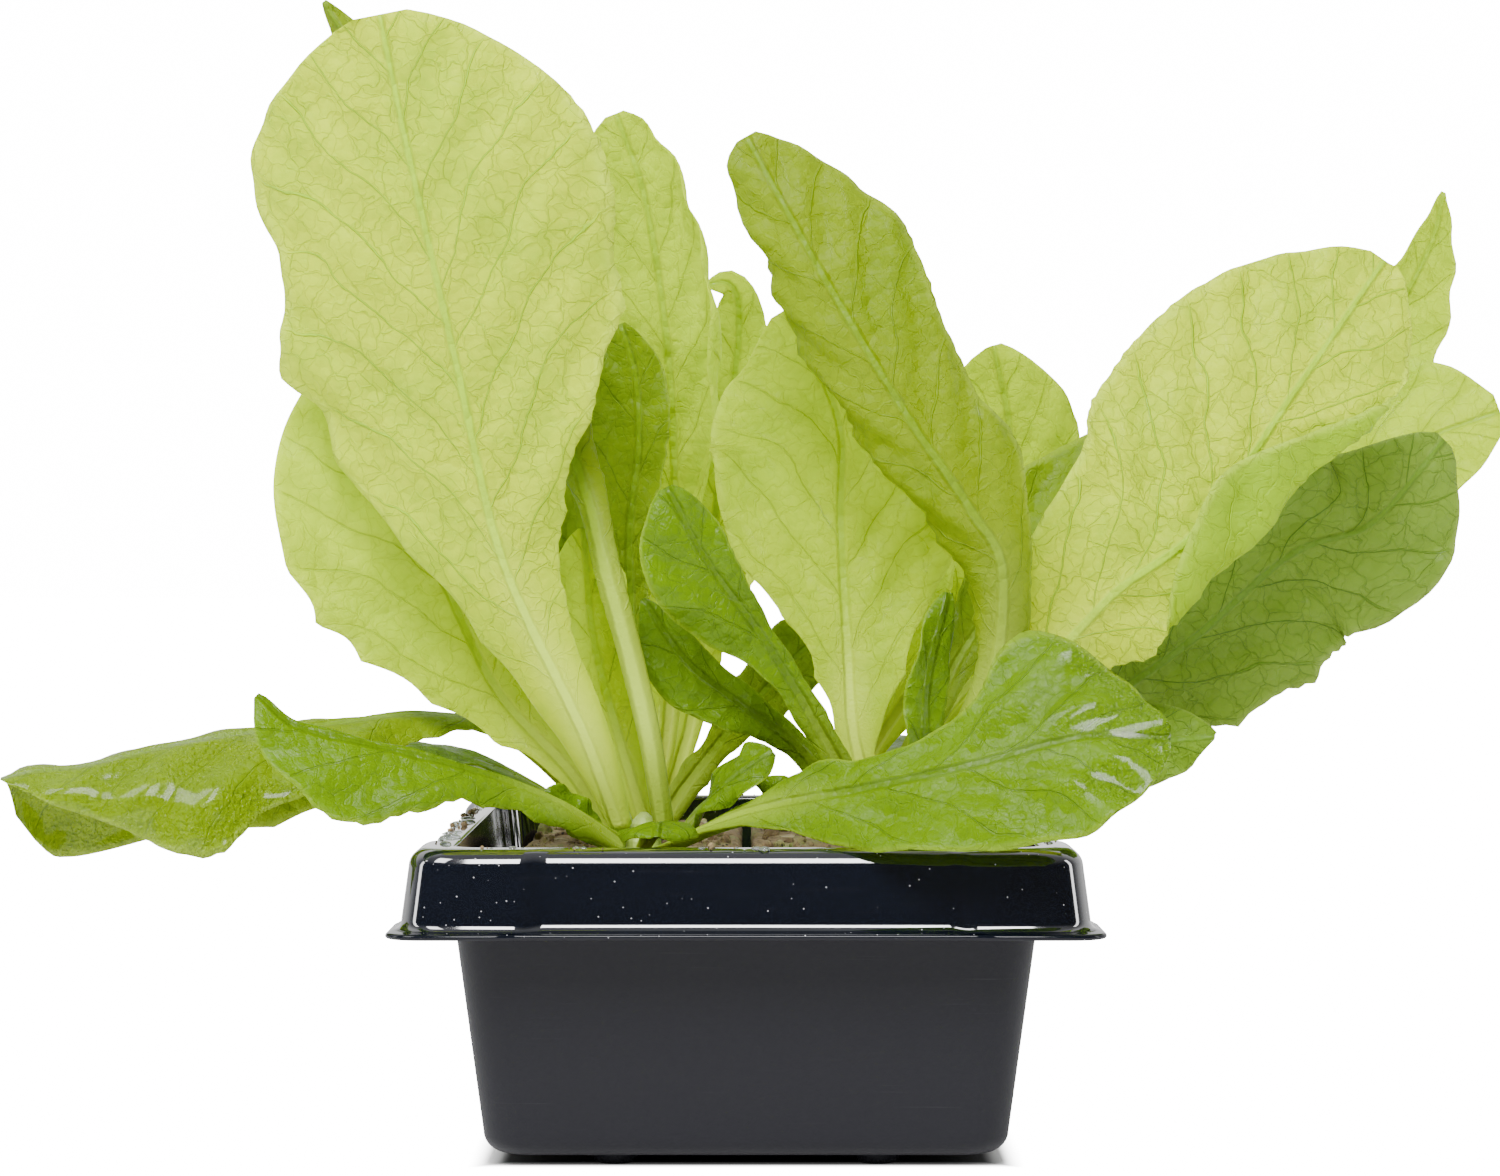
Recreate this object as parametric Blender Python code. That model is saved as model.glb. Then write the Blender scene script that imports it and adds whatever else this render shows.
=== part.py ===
"""Young lettuce plants in six peat blocks, standing in a black thermoformed growing tray.

Sizes are millimetres. The origin is the middle of the tray on the ground, +X runs across the short
side of the tray, +Y away from its front end and +Z up.
"""
import math
import random
from dataclasses import dataclass

import bmesh
import bpy
from mathutils import Vector

MM = 0.001

# Tray, half sizes along X and Y
SHEET = 0.9
RIM_TOP = 49.0
RIM_INNER = (44.0, 65.0)
SKIRT_TOP = (49.0, 71.0)
SKIRT_FOOT = (50.0, 72.0)
SKIRT_BOTTOM = 36.9
FLANGE_EDGE = (52.8, 74.8)
WALL_FOOT = (40.0, 61.0)
WALL_BOTTOM = 1.8
FLOOR_ROUND = 3.6
CORNER_ROUND = 6.0
CORNER_STEPS = 4
CORNER_BULGE = 1.5
SHOULDER = 1.2
FILLET = 1.6
RIM_ROUND = 0.8
LIP_SLOPE = 0.1
# Shares of the straight half sides along X and Y between which the skirt swings out
BULGE_START = (0.65, 0.71)
BULGE_END = (0.83, 0.83)
FOOT_RADIUS = 3.15
FOOT_FLARE = 0.4
FOOT_SIDES = 12
FOOT_PLACES = [(0, 0), (-20, -52), (20, -52), (-20, 0), (20, 0), (-20, 52), (20, 52)]

# Peat blocks and the stems that stand in them
GAP = 0.3
BLOCK_PITCH = 37.4
BLOCK_HALF = 18.2
BLOCK_TOP = 45.4
BLOCK_SIDE_POINTS = 4
CRUMBLE = 0.45
CROWN_RADIUS = 3.2
CROWN_TIP_RADIUS = 1.9
CROWN_FOOT = 39.0
CROWN_TIP = 52.6
CROWN_SIDES = 10

# Leaves
BLADE = 0.7
STALK_REACH = 3.0
ROOT_HEIGHT_SPLIT = 49.5
LOW_ROOT_RING = 4.8
HIGH_ROOT_RING = 3.9
CURL_STEPS = 16
# Half of the share of a half width over which a creased margin turns
CREASE = 0.12
# Just past the tip, so that the last row of a blade keeps some width
TIP_END = 1.004
TIP_POWER = 2.3
LEAST_WIDTH = 0.35
RIB_FADE = 0.85
REACH_FADE = 0.6
# Shares of the length over which teeth and ripples grow, and over which teeth fade again
TEETH_IN = (0.1, 0.25)
TEETH_OUT = (0.57, 0.82)
RIPPLE_IN = (0.2, 0.5)
# Half width from which teeth have their full size
FULL_TEETH_WIDTH = 4.0
TOOTH_MEAN = 0.6
TOOTH_SPREAD = 0.4
# Large factors that only make neighbouring teeth unlike each other
TOOTH_JUMP = 12.99
SEED_JUMP = 78.23
RIPPLE_SEED_PHASE = 1.7
RIPPLE_SIDE_PHASE = 2.1

SHARP_ANGLE = 50.0

PLANTS = {
    "a": (-16, -38),
    "b": (23, -38),
    "c": (-19, 0),
    "d": (19, 0),
    "e": (-19, 37),
    "f": (19, 37),
}

COLOURS = {
    "black_plastic": ((0.012, 0.013, 0.016), 0.22),
    "peat": ((0.19, 0.13, 0.075), 0.95),
    "stem": ((0.55, 0.66, 0.22), 0.45),
    "leaf_pale": ((0.48, 0.60, 0.15), 0.42),
    "leaf_bright": ((0.36, 0.55, 0.03), 0.40),
    "leaf_mid": ((0.28, 0.47, 0.05), 0.40),
    "leaf_deep": ((0.12, 0.33, 0.01), 0.36),
    "leaf_grey": ((0.24, 0.38, 0.10), 0.45),
}


def clamp(x):
    """x kept between 0 and 1."""
    return min(max(x, 0.0), 1.0)


def ramp(low, high, x):
    """0 below low, 1 above high, straight between."""
    return clamp((x - low) / (high - low))


def smooth_step(low, high, x):
    """0 below low, 1 above high, smooth between."""
    t = ramp(low, high, x)
    return t * t * (3 - 2 * t)


def station(values, v):
    """Value at v (0 root, 1 tip) of a smooth run through evenly spaced values."""
    if not isinstance(values, (list, tuple)):
        return values
    last = len(values) - 1
    x = clamp(v) * last
    i = min(int(x), last - 1)
    t = x - i
    before = values[i - 1] if i > 0 else values[0] * 2 - values[1]
    start = values[i]
    end = values[i + 1]
    after = values[i + 2] if i + 2 <= last else values[last] * 2 - values[last - 1]
    slope = (end - before) * t
    bend = (before * 2 - start * 5 + end * 4 - after) * (t * t)
    twist = (start * 3 - before - end * 3 + after) * (t ** 3)
    return (start * 2 + slope + bend + twist) * 0.5


class Midrib:
    """Smooth curve through a leaf's own points, read by its share of length."""

    SAMPLES = 96
    REACH = 0.02

    def __init__(self, points):
        self.places = [station(points, k / self.SAMPLES) for k in range(self.SAMPLES + 1)]
        self.run = [0.0]
        for a, b in zip(self.places, self.places[1:]):
            self.run.append(self.run[-1] + (b - a).length)
        self.length = self.run[-1]

    def at(self, v):
        """Place at share v of the length."""
        want = clamp(v) * self.length
        k = 1
        while k < self.SAMPLES and self.run[k] < want:
            k += 1
        step = self.run[k] - self.run[k - 1]
        t = (want - self.run[k - 1]) / step
        return self.places[k - 1].lerp(self.places[k], t)

    def direction(self, v):
        """Unit vector along the curve at share v."""
        return (self.at(v + self.REACH) - self.at(v - self.REACH)).normalized()


@dataclass
class Leaf:
    """One leaf: its midrib, the way its upper face looks, its two half widths and how it curls.

    left is the side at (face x direction of the midrib), right is the other one. Half widths, curls
    (degrees at the margin, towards the upper face), curl powers and folds are even stations, root to
    tip. A fold is the share of the half width at which the margin is creased over; 0 is no crease.
    """

    name: str
    plant: str
    turn: float
    height: float
    path: list
    face: tuple
    left: list
    right: list = None
    curl: list = 0.0
    curl_right: list = None
    power: list = 1.6
    power_right: list = None
    fold: list = 0.0
    fold_right: list = 0.0
    lobe: float = 1.2
    wave: float = 0.8
    waves: float = 3.0
    round_from: float = 0.8
    stalk: float = 2.2
    rows: int = 16
    columns: int = 4
    seed: int = 1
    tone: str = "leaf_mid"
    blunt: bool = False

    def __post_init__(self):
        self.right = self.right or self.left
        self.curl_right = self.curl if self.curl_right is None else self.curl_right
        self.power_right = self.power if self.power_right is None else self.power_right
        ring = LOW_ROOT_RING if self.height < ROOT_HEIGHT_SPLIT else HIGH_ROOT_RING
        x, y = PLANTS[self.plant]
        angle = math.radians(self.turn)
        root = (x + ring * math.cos(angle), y + ring * math.sin(angle), self.height)
        self.midrib = Midrib([Vector(p) for p in [root] + self.path])
        faces = self.face if isinstance(self.face, list) else [self.face, self.face]
        self.faces = [Vector(f) for f in faces]

    def lobe_at(self, v, side):
        """How far the margin stands out at v: teeth that fade towards the stalk and the tip."""
        count = self.rows / 2
        number = math.floor(v * count)
        phase = v * count - number
        if self.blunt:
            shape = abs(math.sin(math.pi * phase))
        else:
            shape = 1 - abs(math.sin(math.pi * (phase - 0.5)))
        jump = TOOTH_JUMP * (number + 1) + SEED_JUMP * (self.seed + side)
        uneven = TOOTH_MEAN + TOOTH_SPREAD * math.sin(jump)
        return self.lobe * shape * uneven * ramp(*TEETH_IN, v) * (1 - ramp(*TEETH_OUT, v))

    def half_width(self, v, side):
        """Half width at v on one side."""
        width = station(self.left if side > 0 else self.right, v)
        if v > self.round_from:
            share = (v - self.round_from) / (TIP_END - self.round_from)
            width *= max(0.0, 1 - share ** TIP_POWER) ** 0.5
        width = max(width, LEAST_WIDTH)
        return width + self.lobe_at(v, side) * min(width / FULL_TEETH_WIDTH, 1.0)

    def turned(self, size, v, side):
        """Angle by which the blade has turned at a share of its half width."""
        edge = math.radians(station(self.curl if side > 0 else self.curl_right, v))
        fold = station(self.fold if side > 0 else self.fold_right, v)
        if fold > 0:
            return edge * smooth_step(fold - CREASE, fold + CREASE, size)
        return edge * size ** station(self.power if side > 0 else self.power_right, v)

    def section(self, v, across):
        """Places, upper normals and distances from the midrib of one row, for each of across."""
        middle = self.midrib.at(v)
        along = self.midrib.direction(v)
        sideways = station(self.faces, v).cross(along).normalized()
        up = along.cross(sideways).normalized()
        grow = ramp(*RIPPLE_IN, v)
        turns = 2 * math.pi * self.waves * v + RIPPLE_SEED_PHASE * self.seed
        row = []
        for u in across:
            side = 1 if u >= 0 else -1
            width = self.half_width(v, side)
            out = 0.0
            lift = 0.0
            for k in range(CURL_STEPS):
                angle = self.turned(abs(u) * (k + 0.5) / CURL_STEPS, v, side)
                out += math.cos(angle)
                lift += math.sin(angle)
            share = abs(u) * width / CURL_STEPS
            phase = 0 if side > 0 else RIPPLE_SIDE_PHASE
            ripple = self.wave * grow * u * u * math.sin(turns + phase)
            place = middle + sideways * (side * out * share) + up * (lift * share + ripple)
            angle = self.turned(abs(u), v, side)
            normal = up * math.cos(angle) - sideways * (side * math.sin(angle))
            row.append((place, normal.normalized(), abs(u) * width))
        return row

    def depth(self, v, distance):
        """Thickness at a distance from the midrib: a blade with a stalk and rib under it."""
        rib = self.stalk * (1 - RIB_FADE * v)
        reach = STALK_REACH * (1 - REACH_FADE * v)
        return BLADE + max(0.0, rib - BLADE) * math.exp(-(distance / reach) ** 2)


def material(slot):
    """Principled material of one slot, made once."""
    if slot in bpy.data.materials:
        return bpy.data.materials[slot]
    colour, roughness = COLOURS[slot]
    made = bpy.data.materials.new(slot)
    made.use_nodes = True
    shader = made.node_tree.nodes["Principled BSDF"]
    shader.inputs["Base Color"].default_value = (*colour, 1.0)
    shader.inputs["Roughness"].default_value = roughness
    shader.inputs["Metallic"].default_value = 0.0
    return made


def add_object(name, bm, slot):
    """Turn a bmesh in millimetres into an object in metres with its faces pointing out."""
    bmesh.ops.recalc_face_normals(bm, faces=bm.faces)
    bmesh.ops.scale(bm, vec=(MM, MM, MM), verts=bm.verts)
    mesh = bpy.data.meshes.new(name)
    bm.to_mesh(mesh)
    bm.free()
    mesh.materials.append(material(slot))
    mesh.shade_smooth()
    mesh.set_sharp_from_angle(angle=math.radians(SHARP_ANGLE))
    made = bpy.data.objects.new(name, mesh)
    bpy.context.scene.collection.objects.link(made)
    return made


def loft(bm, rings):
    """Bridge a list of vertex rings with quads and cap both ends."""
    made = [[bm.verts.new(p) for p in ring] for ring in rings]
    count = len(made[0])
    for lower, upper in zip(made, made[1:]):
        for k in range(count):
            n = (k + 1) % count
            bm.faces.new((lower[k], lower[n], upper[n], upper[k]))
    bm.faces.new(list(reversed(made[0])))
    bm.faces.new(made[-1])


def straight_side(length, half, bulge, start, end):
    """Points along half a side: flat in the middle, then swung out to the corner zone."""
    points = []
    for share in (start, (start + end) / 2, end):
        points.append((length * share, half + bulge * smooth_step(start, end, share)))
    return points


def tray_ring(half, z, corner, bulge):
    """Rounded rectangle at height z whose corner zones stand out by bulge."""
    hx, hy = half
    centre = (hx + bulge - corner, -hy - bulge + corner)
    quarter = [(0.0, -hy)]
    for x, reach in straight_side(centre[0], hy, bulge, BULGE_START[0], BULGE_END[0]):
        quarter.append((x, -reach))
    for k in range(CORNER_STEPS + 1):
        angle = math.radians(-90 + 90 * k / CORNER_STEPS)
        quarter.append((centre[0] + corner * math.cos(angle), centre[1] + corner * math.sin(angle)))
    for y, reach in reversed(straight_side(-centre[1], hx, bulge, BULGE_START[1], BULGE_END[1])):
        quarter.append((reach, -y))
    ring = [(x, y, z) for x, y in quarter]
    ring += [(x, -y, z) for x, y in reversed(quarter)]
    ring += [(-x, -y, z) for x, y in quarter[1:]]
    ring += [(-x, y, z) for x, y in reversed(quarter[1:])]
    return ring


def grown(half, amount):
    """Half sizes made larger on every side."""
    return (half[0] + amount, half[1] + amount)


def make_tray():
    """Thin-walled tray: floor, sloping walls, flat rim, skirt with proud corners, and a lip."""
    rim = RIM_TOP
    low = SKIRT_BOTTOM
    wide = CORNER_ROUND
    turn = FLOOR_ROUND
    floor = WALL_BOTTOM + SHEET
    bulge = CORNER_BULGE
    # Half sizes, height, corner radius and bulge of each ring, from the floor over the rim and down
    profile = [
        (grown(WALL_FOOT, -SHEET - turn), floor, wide - 2.4, 0),
        (grown(WALL_FOOT, -SHEET - turn * 0.3), floor + turn * 0.3, wide - 1.2, 0),
        (grown(WALL_FOOT, -SHEET), floor + turn, wide - 0.9, 0),
        (RIM_INNER, rim - 0.3, wide, 0),
        (grown(RIM_INNER, RIM_ROUND), rim, wide + 0.6, 0.2),
        (grown(SKIRT_TOP, -SHOULDER), rim, wide, bulge),
        (SKIRT_TOP, rim - SHOULDER, wide + 1.2, bulge),
        (SKIRT_FOOT, low + FILLET, wide + 1.5, bulge),
        (grown(SKIRT_FOOT, FILLET * 0.4), low + FILLET * 0.25, wide + 1.7, bulge),
        (grown(SKIRT_FOOT, FILLET), low, wide + 1.5, bulge * 0.8),
        (FLANGE_EDGE, low - LIP_SLOPE, wide - 1.0, bulge * 0.5),
        (FLANGE_EDGE, low - LIP_SLOPE - SHEET, wide - 1.0, bulge * 0.5),
        (grown(SKIRT_FOOT, 0.4), low - SHEET, wide + 1.0, bulge * 0.8),
        (grown(SKIRT_FOOT, -SHEET), low + 0.6, wide + 0.8, bulge),
        (grown(SKIRT_TOP, -SHEET), rim - SHEET - 0.9, wide, bulge),
        (grown(SKIRT_TOP, -1.8), rim - SHEET, wide - 0.8, bulge),
        (grown(RIM_INNER, SHEET + 0.4), rim - SHEET, wide + 0.6, 0.2),
        (WALL_FOOT, WALL_BOTTOM + turn + SHEET, wide, 0),
        (grown(WALL_FOOT, -turn * 0.32), WALL_BOTTOM + turn * 0.32, wide, 0),
        (grown(WALL_FOOT, -turn), WALL_BOTTOM, wide - 1.4, 0),
    ]
    bm = bmesh.new()
    loft(bm, [tray_ring(*step) for step in profile])
    tray = add_object("tray", bm, "black_plastic")
    for k, place in enumerate(FOOT_PLACES):
        add_foot(tray, f"foot_{k + 1}", place)
    return tray


def add_foot(tray, name, place):
    """Join one round foot to the underside of the tray."""
    bm = bmesh.new()
    height = WALL_BOTTOM + SHEET / 2
    bmesh.ops.create_cone(
        bm, cap_ends=True, segments=FOOT_SIDES, radius1=FOOT_RADIUS,
        radius2=FOOT_RADIUS + FOOT_FLARE, depth=height)
    bmesh.ops.translate(bm, vec=(place[0], place[1], height / 2), verts=bm.verts)
    foot = add_object(name, bm, "black_plastic")
    foot.hide_render = True
    foot.display_type = "WIRE"
    union = tray.modifiers.new(name, "BOOLEAN")
    union.operation = "UNION"
    union.object = foot


def square_ring(half, z, rounding, draw, shake):
    """Ring of points round a square with cut corners, shaken in and out a little."""
    ring = []
    for side in range(4):
        angle = math.radians(90 * side)
        for k in range(BLOCK_SIDE_POINTS):
            t = -1 + 2 * (k + 0.5) / BLOCK_SIDE_POINTS
            reach = half - draw.uniform(0, shake)
            x = t * (half - rounding)
            ring.append((x * math.cos(angle) + reach * math.sin(angle),
                         x * math.sin(angle) - reach * math.cos(angle),
                         z + draw.uniform(-shake, shake) * 0.5))
    return ring


def make_block(index, column, row, plant):
    """Peat block with a crumbly skin and a plain round hole for its stem."""
    draw = random.Random(index)
    centre = Vector((BLOCK_PITCH / 2 * column, BLOCK_PITCH * row, 0))
    hole = Vector((*PLANTS[plant], 0)) - centre
    bottom = WALL_BOTTOM + SHEET + GAP
    # Half size, height, cut of the corners and roughness of each ring
    steps = [
        (BLOCK_HALF - 1.8, bottom, 0.6, 0.0),
        (BLOCK_HALF, bottom + 2.0, 0.6, CRUMBLE),
        (BLOCK_HALF, BLOCK_TOP - 2.2, 0.8, CRUMBLE),
        (BLOCK_HALF - 1.3, BLOCK_TOP - 0.5, 1.4, CRUMBLE),
        (BLOCK_HALF * 0.62, BLOCK_TOP, 1.0, CRUMBLE),
    ]
    rings = [square_ring(half, z, cut, draw, shake) for half, z, cut, shake in steps]
    rings[-1] = [(x + hole.x * 0.4, y + hole.y * 0.4, z) for x, y, z in rings[-1]]
    radius = CROWN_RADIUS + GAP * 1.3
    for grow, z in ((0.5, BLOCK_TOP - 0.1), (0.0, BLOCK_TOP - 0.6), (0.0, CROWN_FOOT - GAP)):
        ring = []
        for k in range(4 * BLOCK_SIDE_POINTS):
            angle = 2 * math.pi * (k + 0.5) / (4 * BLOCK_SIDE_POINTS) - math.radians(135)
            ring.append((hole.x + (radius + grow) * math.cos(angle),
                         hole.y + (radius + grow) * math.sin(angle), z))
        rings.append(ring)
    bm = bmesh.new()
    loft(bm, rings)
    bmesh.ops.translate(bm, vec=centre, verts=bm.verts)
    return add_object(f"peat_block_{plant}", bm, "peat")


def make_crown(plant):
    """Short tapering stem that the leaves of one plant stand round."""
    x, y = PLANTS[plant]
    steps = [
        (CROWN_RADIUS, CROWN_FOOT),
        (CROWN_RADIUS, BLOCK_TOP),
        (CROWN_RADIUS * 0.9, BLOCK_TOP + 1.6),
        (CROWN_TIP_RADIUS + 0.3, CROWN_TIP - 2.4),
        (CROWN_TIP_RADIUS, CROWN_TIP - 0.9),
        (CROWN_TIP_RADIUS * 0.55, CROWN_TIP),
    ]
    rings = []
    for radius, z in steps:
        ring = []
        for k in range(CROWN_SIDES):
            angle = 2 * math.pi * k / CROWN_SIDES
            ring.append((x + radius * math.cos(angle), y + radius * math.sin(angle), z))
        rings.append(ring)
    bm = bmesh.new()
    loft(bm, rings)
    return add_object(f"stem_{plant}", bm, "stem")


def make_leaf(leaf):
    """Closed blade: a grid laid on the leaf's upper face, grown down to its lower face."""
    bm = bmesh.new()
    across = bm.verts.layers.float.new("across")
    along = bm.verts.layers.float.new("along")
    bmesh.ops.create_grid(bm, x_segments=leaf.columns, y_segments=leaf.rows, size=1.0)
    for vert in bm.verts:
        vert[across] = vert.co.x
        vert[along] = (vert.co.y + 1) / 2
    bmesh.ops.triangulate(bm, faces=bm.faces, quad_method="FIXED")
    upper = list(bm.verts)
    grown_part = bmesh.ops.extrude_face_region(bm, geom=bm.faces[:], use_keep_orig=True)
    lower = [g for g in grown_part["geom"] if isinstance(g, bmesh.types.BMVert)]
    for verts, under in ((upper, False), (lower, True)):
        for vert in verts:
            v = vert[along]
            place, normal, distance = leaf.section(v, [vert[across]])[0]
            if under:
                vert.co = place - normal * (leaf.depth(v, distance) - BLADE / 2)
            else:
                vert.co = place + normal * (BLADE / 2)
    bmesh.ops.triangulate(bm, faces=bm.faces)
    return add_object(f"leaf_{leaf.name}", bm, leaf.tone)


def leaves():
    """Every leaf, plant by plant; path holds the midrib's points after the root."""
    return plant_a() + plant_b() + plant_c() + plant_d() + plant_e() + plant_f()


def plant_a():
    """Front left plant: the tall pale leaf and the low leaves that arch over the front rim."""
    return [
        Leaf("a_tall", "a", 205, 50.6,
             [(-25, -46, 66), (-37, -50, 92), (-44, -54, 122), (-51, -60, 154), (-55, -63, 174)],
             (0.2, 1, 0.1),
             [1.8, 2.7, 3.5, 4, 4.8, 6.8, 9.5, 13, 17.5, 22, 26, 27, 29, 29.5, 28.5, 25.5, 21],
             right=[1.8, 3, 4.5, 6, 7.5, 9.5, 13, 18.5, 23, 25.3, 29.2, 26, 24.3, 28, 28.7, 26, 21],
             curl=[0, 20, 20, 20, 25, 25, 20, 15, 0], lobe=1.6, wave=1.2, round_from=0.74,
             stalk=2.4, rows=18, seed=5, tone="leaf_pale"),
        Leaf("a_left", "a", 160, 47.2,
             [(-27, -36, 58), (-39, -33, 71), (-48, -33, 89), (-57, -35, 106), (-64, -36, 123)],
             (0.1, -1, 0.2), [1.6, 2, 3.5, 8, 15.5, 19.5, 19.7, 16, 12],
             right=[1.6, 2, 4, 7, 10, 13, 15, 14, 10],
             curl=[0, 10, 10, 10, 10, 10, 5, 0, 0], lobe=2.0, wave=1.0, rows=18, seed=3,
             tone="leaf_bright"),
        Leaf("a_arch", "a", 325, 51,
             [(-14.6, -46, 64), (-17.6, -46.5, 77), (-21, -46, 89), (-25, -42, 104),
              (-32, -37, 121), (-46, -32, 148), (-67, -30, 180.5)],
             (0.2, 1, 0.2), [1.6, 1.6, 1.8, 2.6, 5, 7.5, 9, 7, 3],
             curl=[0, 30, 60, 80, 80, 60, 50, 40, 20], stalk=2.4, rows=18, seed=7),
        Leaf("a_inner", "a", 90, 50.6, [(-20, -35, 64), (-24, -36, 80), (-25.5, -37, 97)],
             (0.1, -1, 0.1), [1.5, 2.2, 4, 5, 5.5, 6, 6, 5.5, 4], lobe=1.0, rows=12, seed=2,
             tone="leaf_bright"),
        Leaf("a_low_right", "a", 305, 47.6,
             [(1, -57, 54), (18, -68.5, 58), (34, -75.5, 62), (49, -79, 66), (62, -80, 66)],
             [(0, -0.3, 1), (0, -0.85, 0.5), (0, -0.85, 0.5), (0, -0.85, 0.5)],
             [1.6, 1.7, 1.8, 2.1, 2.5, 4, 5, 5, 5, 6, 7.5, 10.5, 16.5, 19.2, 15, 11, 8],
             right=[1.6, 1.8, 3, 6.2, 10.4, 13.2, 14.8, 16, 13], rows=18, seed=4, tone="leaf_deep",
             blunt=True),
        Leaf("a_low_left", "a", 235, 47.6,
             [(-28, -54, 55), (-40, -60, 60), (-55, -64, 64), (-67, -66, 67), (-73, -66, 72)],
             (0, -0.85, 0.5), [1.6, 3, 4, 3.8, 5.4, 10, 13.2, 9, 3.5],
             right=[1.6, 1.6, 2, 3, 6, 8, 8, 7, 4], curl=0,
             curl_right=[0, -60, -110, -140, -150, -150, -150, -140, -120], power_right=0.5,
             rows=16, columns=6, seed=6, tone="leaf_deep"),
        Leaf("a_first", "a", 268, 47.4, [(-14, -50, 51), (-13.5, -57, 52), (-13.5, -63, 50.4)],
             (0, -0.3, 1), [1.2, 1.4, 2, 4, 6, 6.3, 6.3, 6, 4],
             curl=[0, 0, -20, -40, -50, -50, -50, -50, -40], lobe=0, wave=0, stalk=1.4, rows=8,
             seed=1, tone="leaf_deep"),
        Leaf("a_small_left", "a", 186, 47.0, [(-23.8, -41.8, 50), (-27, -43.5, 53), (-31, -44.5, 56.5)],
             (0, -0.8, 0.6), [1.2, 1.5, 2, 2.6, 3, 3, 3, 2.6, 2], lobe=0.4, stalk=1.4, rows=8,
             seed=8, tone="leaf_deep"),
        Leaf("a_small_right", "a", 24, 47.2,
             [(-8, -41, 51.5), (-5.5, -48, 55.5), (-1, -53, 59.5), (4, -55, 63)],
             (0, -0.8, 0.6), [1.2, 1.5, 2, 2.4, 2.8, 3.6, 4.4, 4, 2.6], lobe=0.5, stalk=1.5,
             rows=10, seed=9, tone="leaf_deep"),
    ]


def plant_b():
    """Front right plant: the leaning leaf, the wide one with a rolled margin, and deep green ones."""
    return [
        Leaf("b_pale", "b", 120, 50.8,
             [(17, -36, 64), (16, -33, 78), (15, -29, 98), (15, -26, 113), (10, -24, 126),
              (6, -23, 132)],
             (0, -1, 0.15), [2, 2.2, 3.5, 8, 16, 20, 21, 19, 12],
             right=[2, 2.5, 7, 11.5, 18, 20, 20, 18, 12],
             curl=[0, 10, 10, 15, 15, 15, 10, 5, 0], lobe=1.8, wave=0.9, stalk=2.4, rows=18,
             seed=4, tone="leaf_bright"),
        Leaf("b_leaning", "b", 312, 51,
             [(37.2, -44, 71), (39.2, -50, 90), (34, -53, 100), (24.5, -54, 114), (12, -53, 135),
              (0, -50, 157)],
             (-0.1, 1, 0),
             [1.8, 2.1, 2.5, 3, 3.5, 4.2, 5, 9.5, 12, 11, 12, 12.5, 14, 15, 12, 9, 6],
             right=[1.8, 2.5, 3, 7, 8, 10.5, 10.5, 7.5, 7.5],
             curl=[0, 0, 0, 10, 10, 10, 10, 10, 0],
             curl_right=[0, 10, 50, 75, 85, 90, 85, 70, 40], power_right=1.2, lobe=1.4,
             round_from=0.88, stalk=2.4, rows=18, seed=2),
        Leaf("b_wide", "b", 2, 47.4,
             [(41, -41, 68), (56, -45, 86), (70, -46, 97), (85, -43, 118), (100, -37, 139)],
             (0.1, 1, 0.1),
             [1.8, 2, 2.2, 3, 4, 6, 9, 11, 13, 17.5, 19, 18, 16.5, 15.5, 14.5, 13, 11],
             right=[1.8, 2.2, 5, 13, 21, 25, 24, 19, 12],
             curl=-168,
             fold=[1.3, 1.3, 1.3, 1.3, 1.3, 1.3, 1.2, 0.95, 0.58, 0.45, 0.42, 0.52, 0.68, 0.84,
                   1, 1.2, 1.3],
             curl_right=[0, 0, 0, 10, 10, 10, 0, 0, 0], power_right=1.6, lobe=1.6, stalk=2.4,
             rows=18, columns=8, seed=6, tone="leaf_pale"),
        Leaf("b_front", "b", 235, 49.2, [(14, -48, 61), (4, -54, 78), (-6, -58, 92), (-12, -60, 103)],
             (0, -1, 0.3), [1.6, 1.8, 2, 2.4, 3, 6.5, 9.5, 9.5, 6],
             right=[1.6, 1.8, 2, 2, 1.9, 2.2, 3.4, 4.8, 4], lobe=0.8, rows=14, seed=3,
             tone="leaf_deep"),
        Leaf("b_under", "b", 195, 47.0,
             [(9, -41, 62), (-1, -44, 69.6), (-9.5, -45, 76.6), (-16, -44.5, 86)],
             (-0.2, -1, 0.5), [1.5, 1.7, 1.9, 2.2, 3.2, 5.4, 6.4, 5, 2.5],
             right=[1.5, 1.6, 1.8, 2, 2.6, 3.2, 3.6, 3.2, 2], lobe=0.6, rows=12, seed=5,
             tone="leaf_deep"),
        Leaf("b_crenate", "b", 259, 47.4, [(26.8, -49.2, 60), (28, -48, 74), (31.2, -45, 87)],
             (0.5, -0.8, 0), [1.4, 1.6, 2.2, 3, 3.4, 3.4, 3.2, 3, 2], lobe=0.8, rows=10,
             seed=7, tone="leaf_deep", blunt=True),
        Leaf("b_small", "b", 225, 47.2, [(13, -45, 50.5), (7, -47, 54.5), (1, -48, 58.5)],
             [(0, -0.3, 1), (0, -0.7, 0.7)], [1.2, 1.4, 1.8, 2.4, 3, 3, 3, 2.6, 2], lobe=0.4,
             stalk=1.4, rows=8, seed=2, tone="leaf_deep"),
    ]


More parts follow.
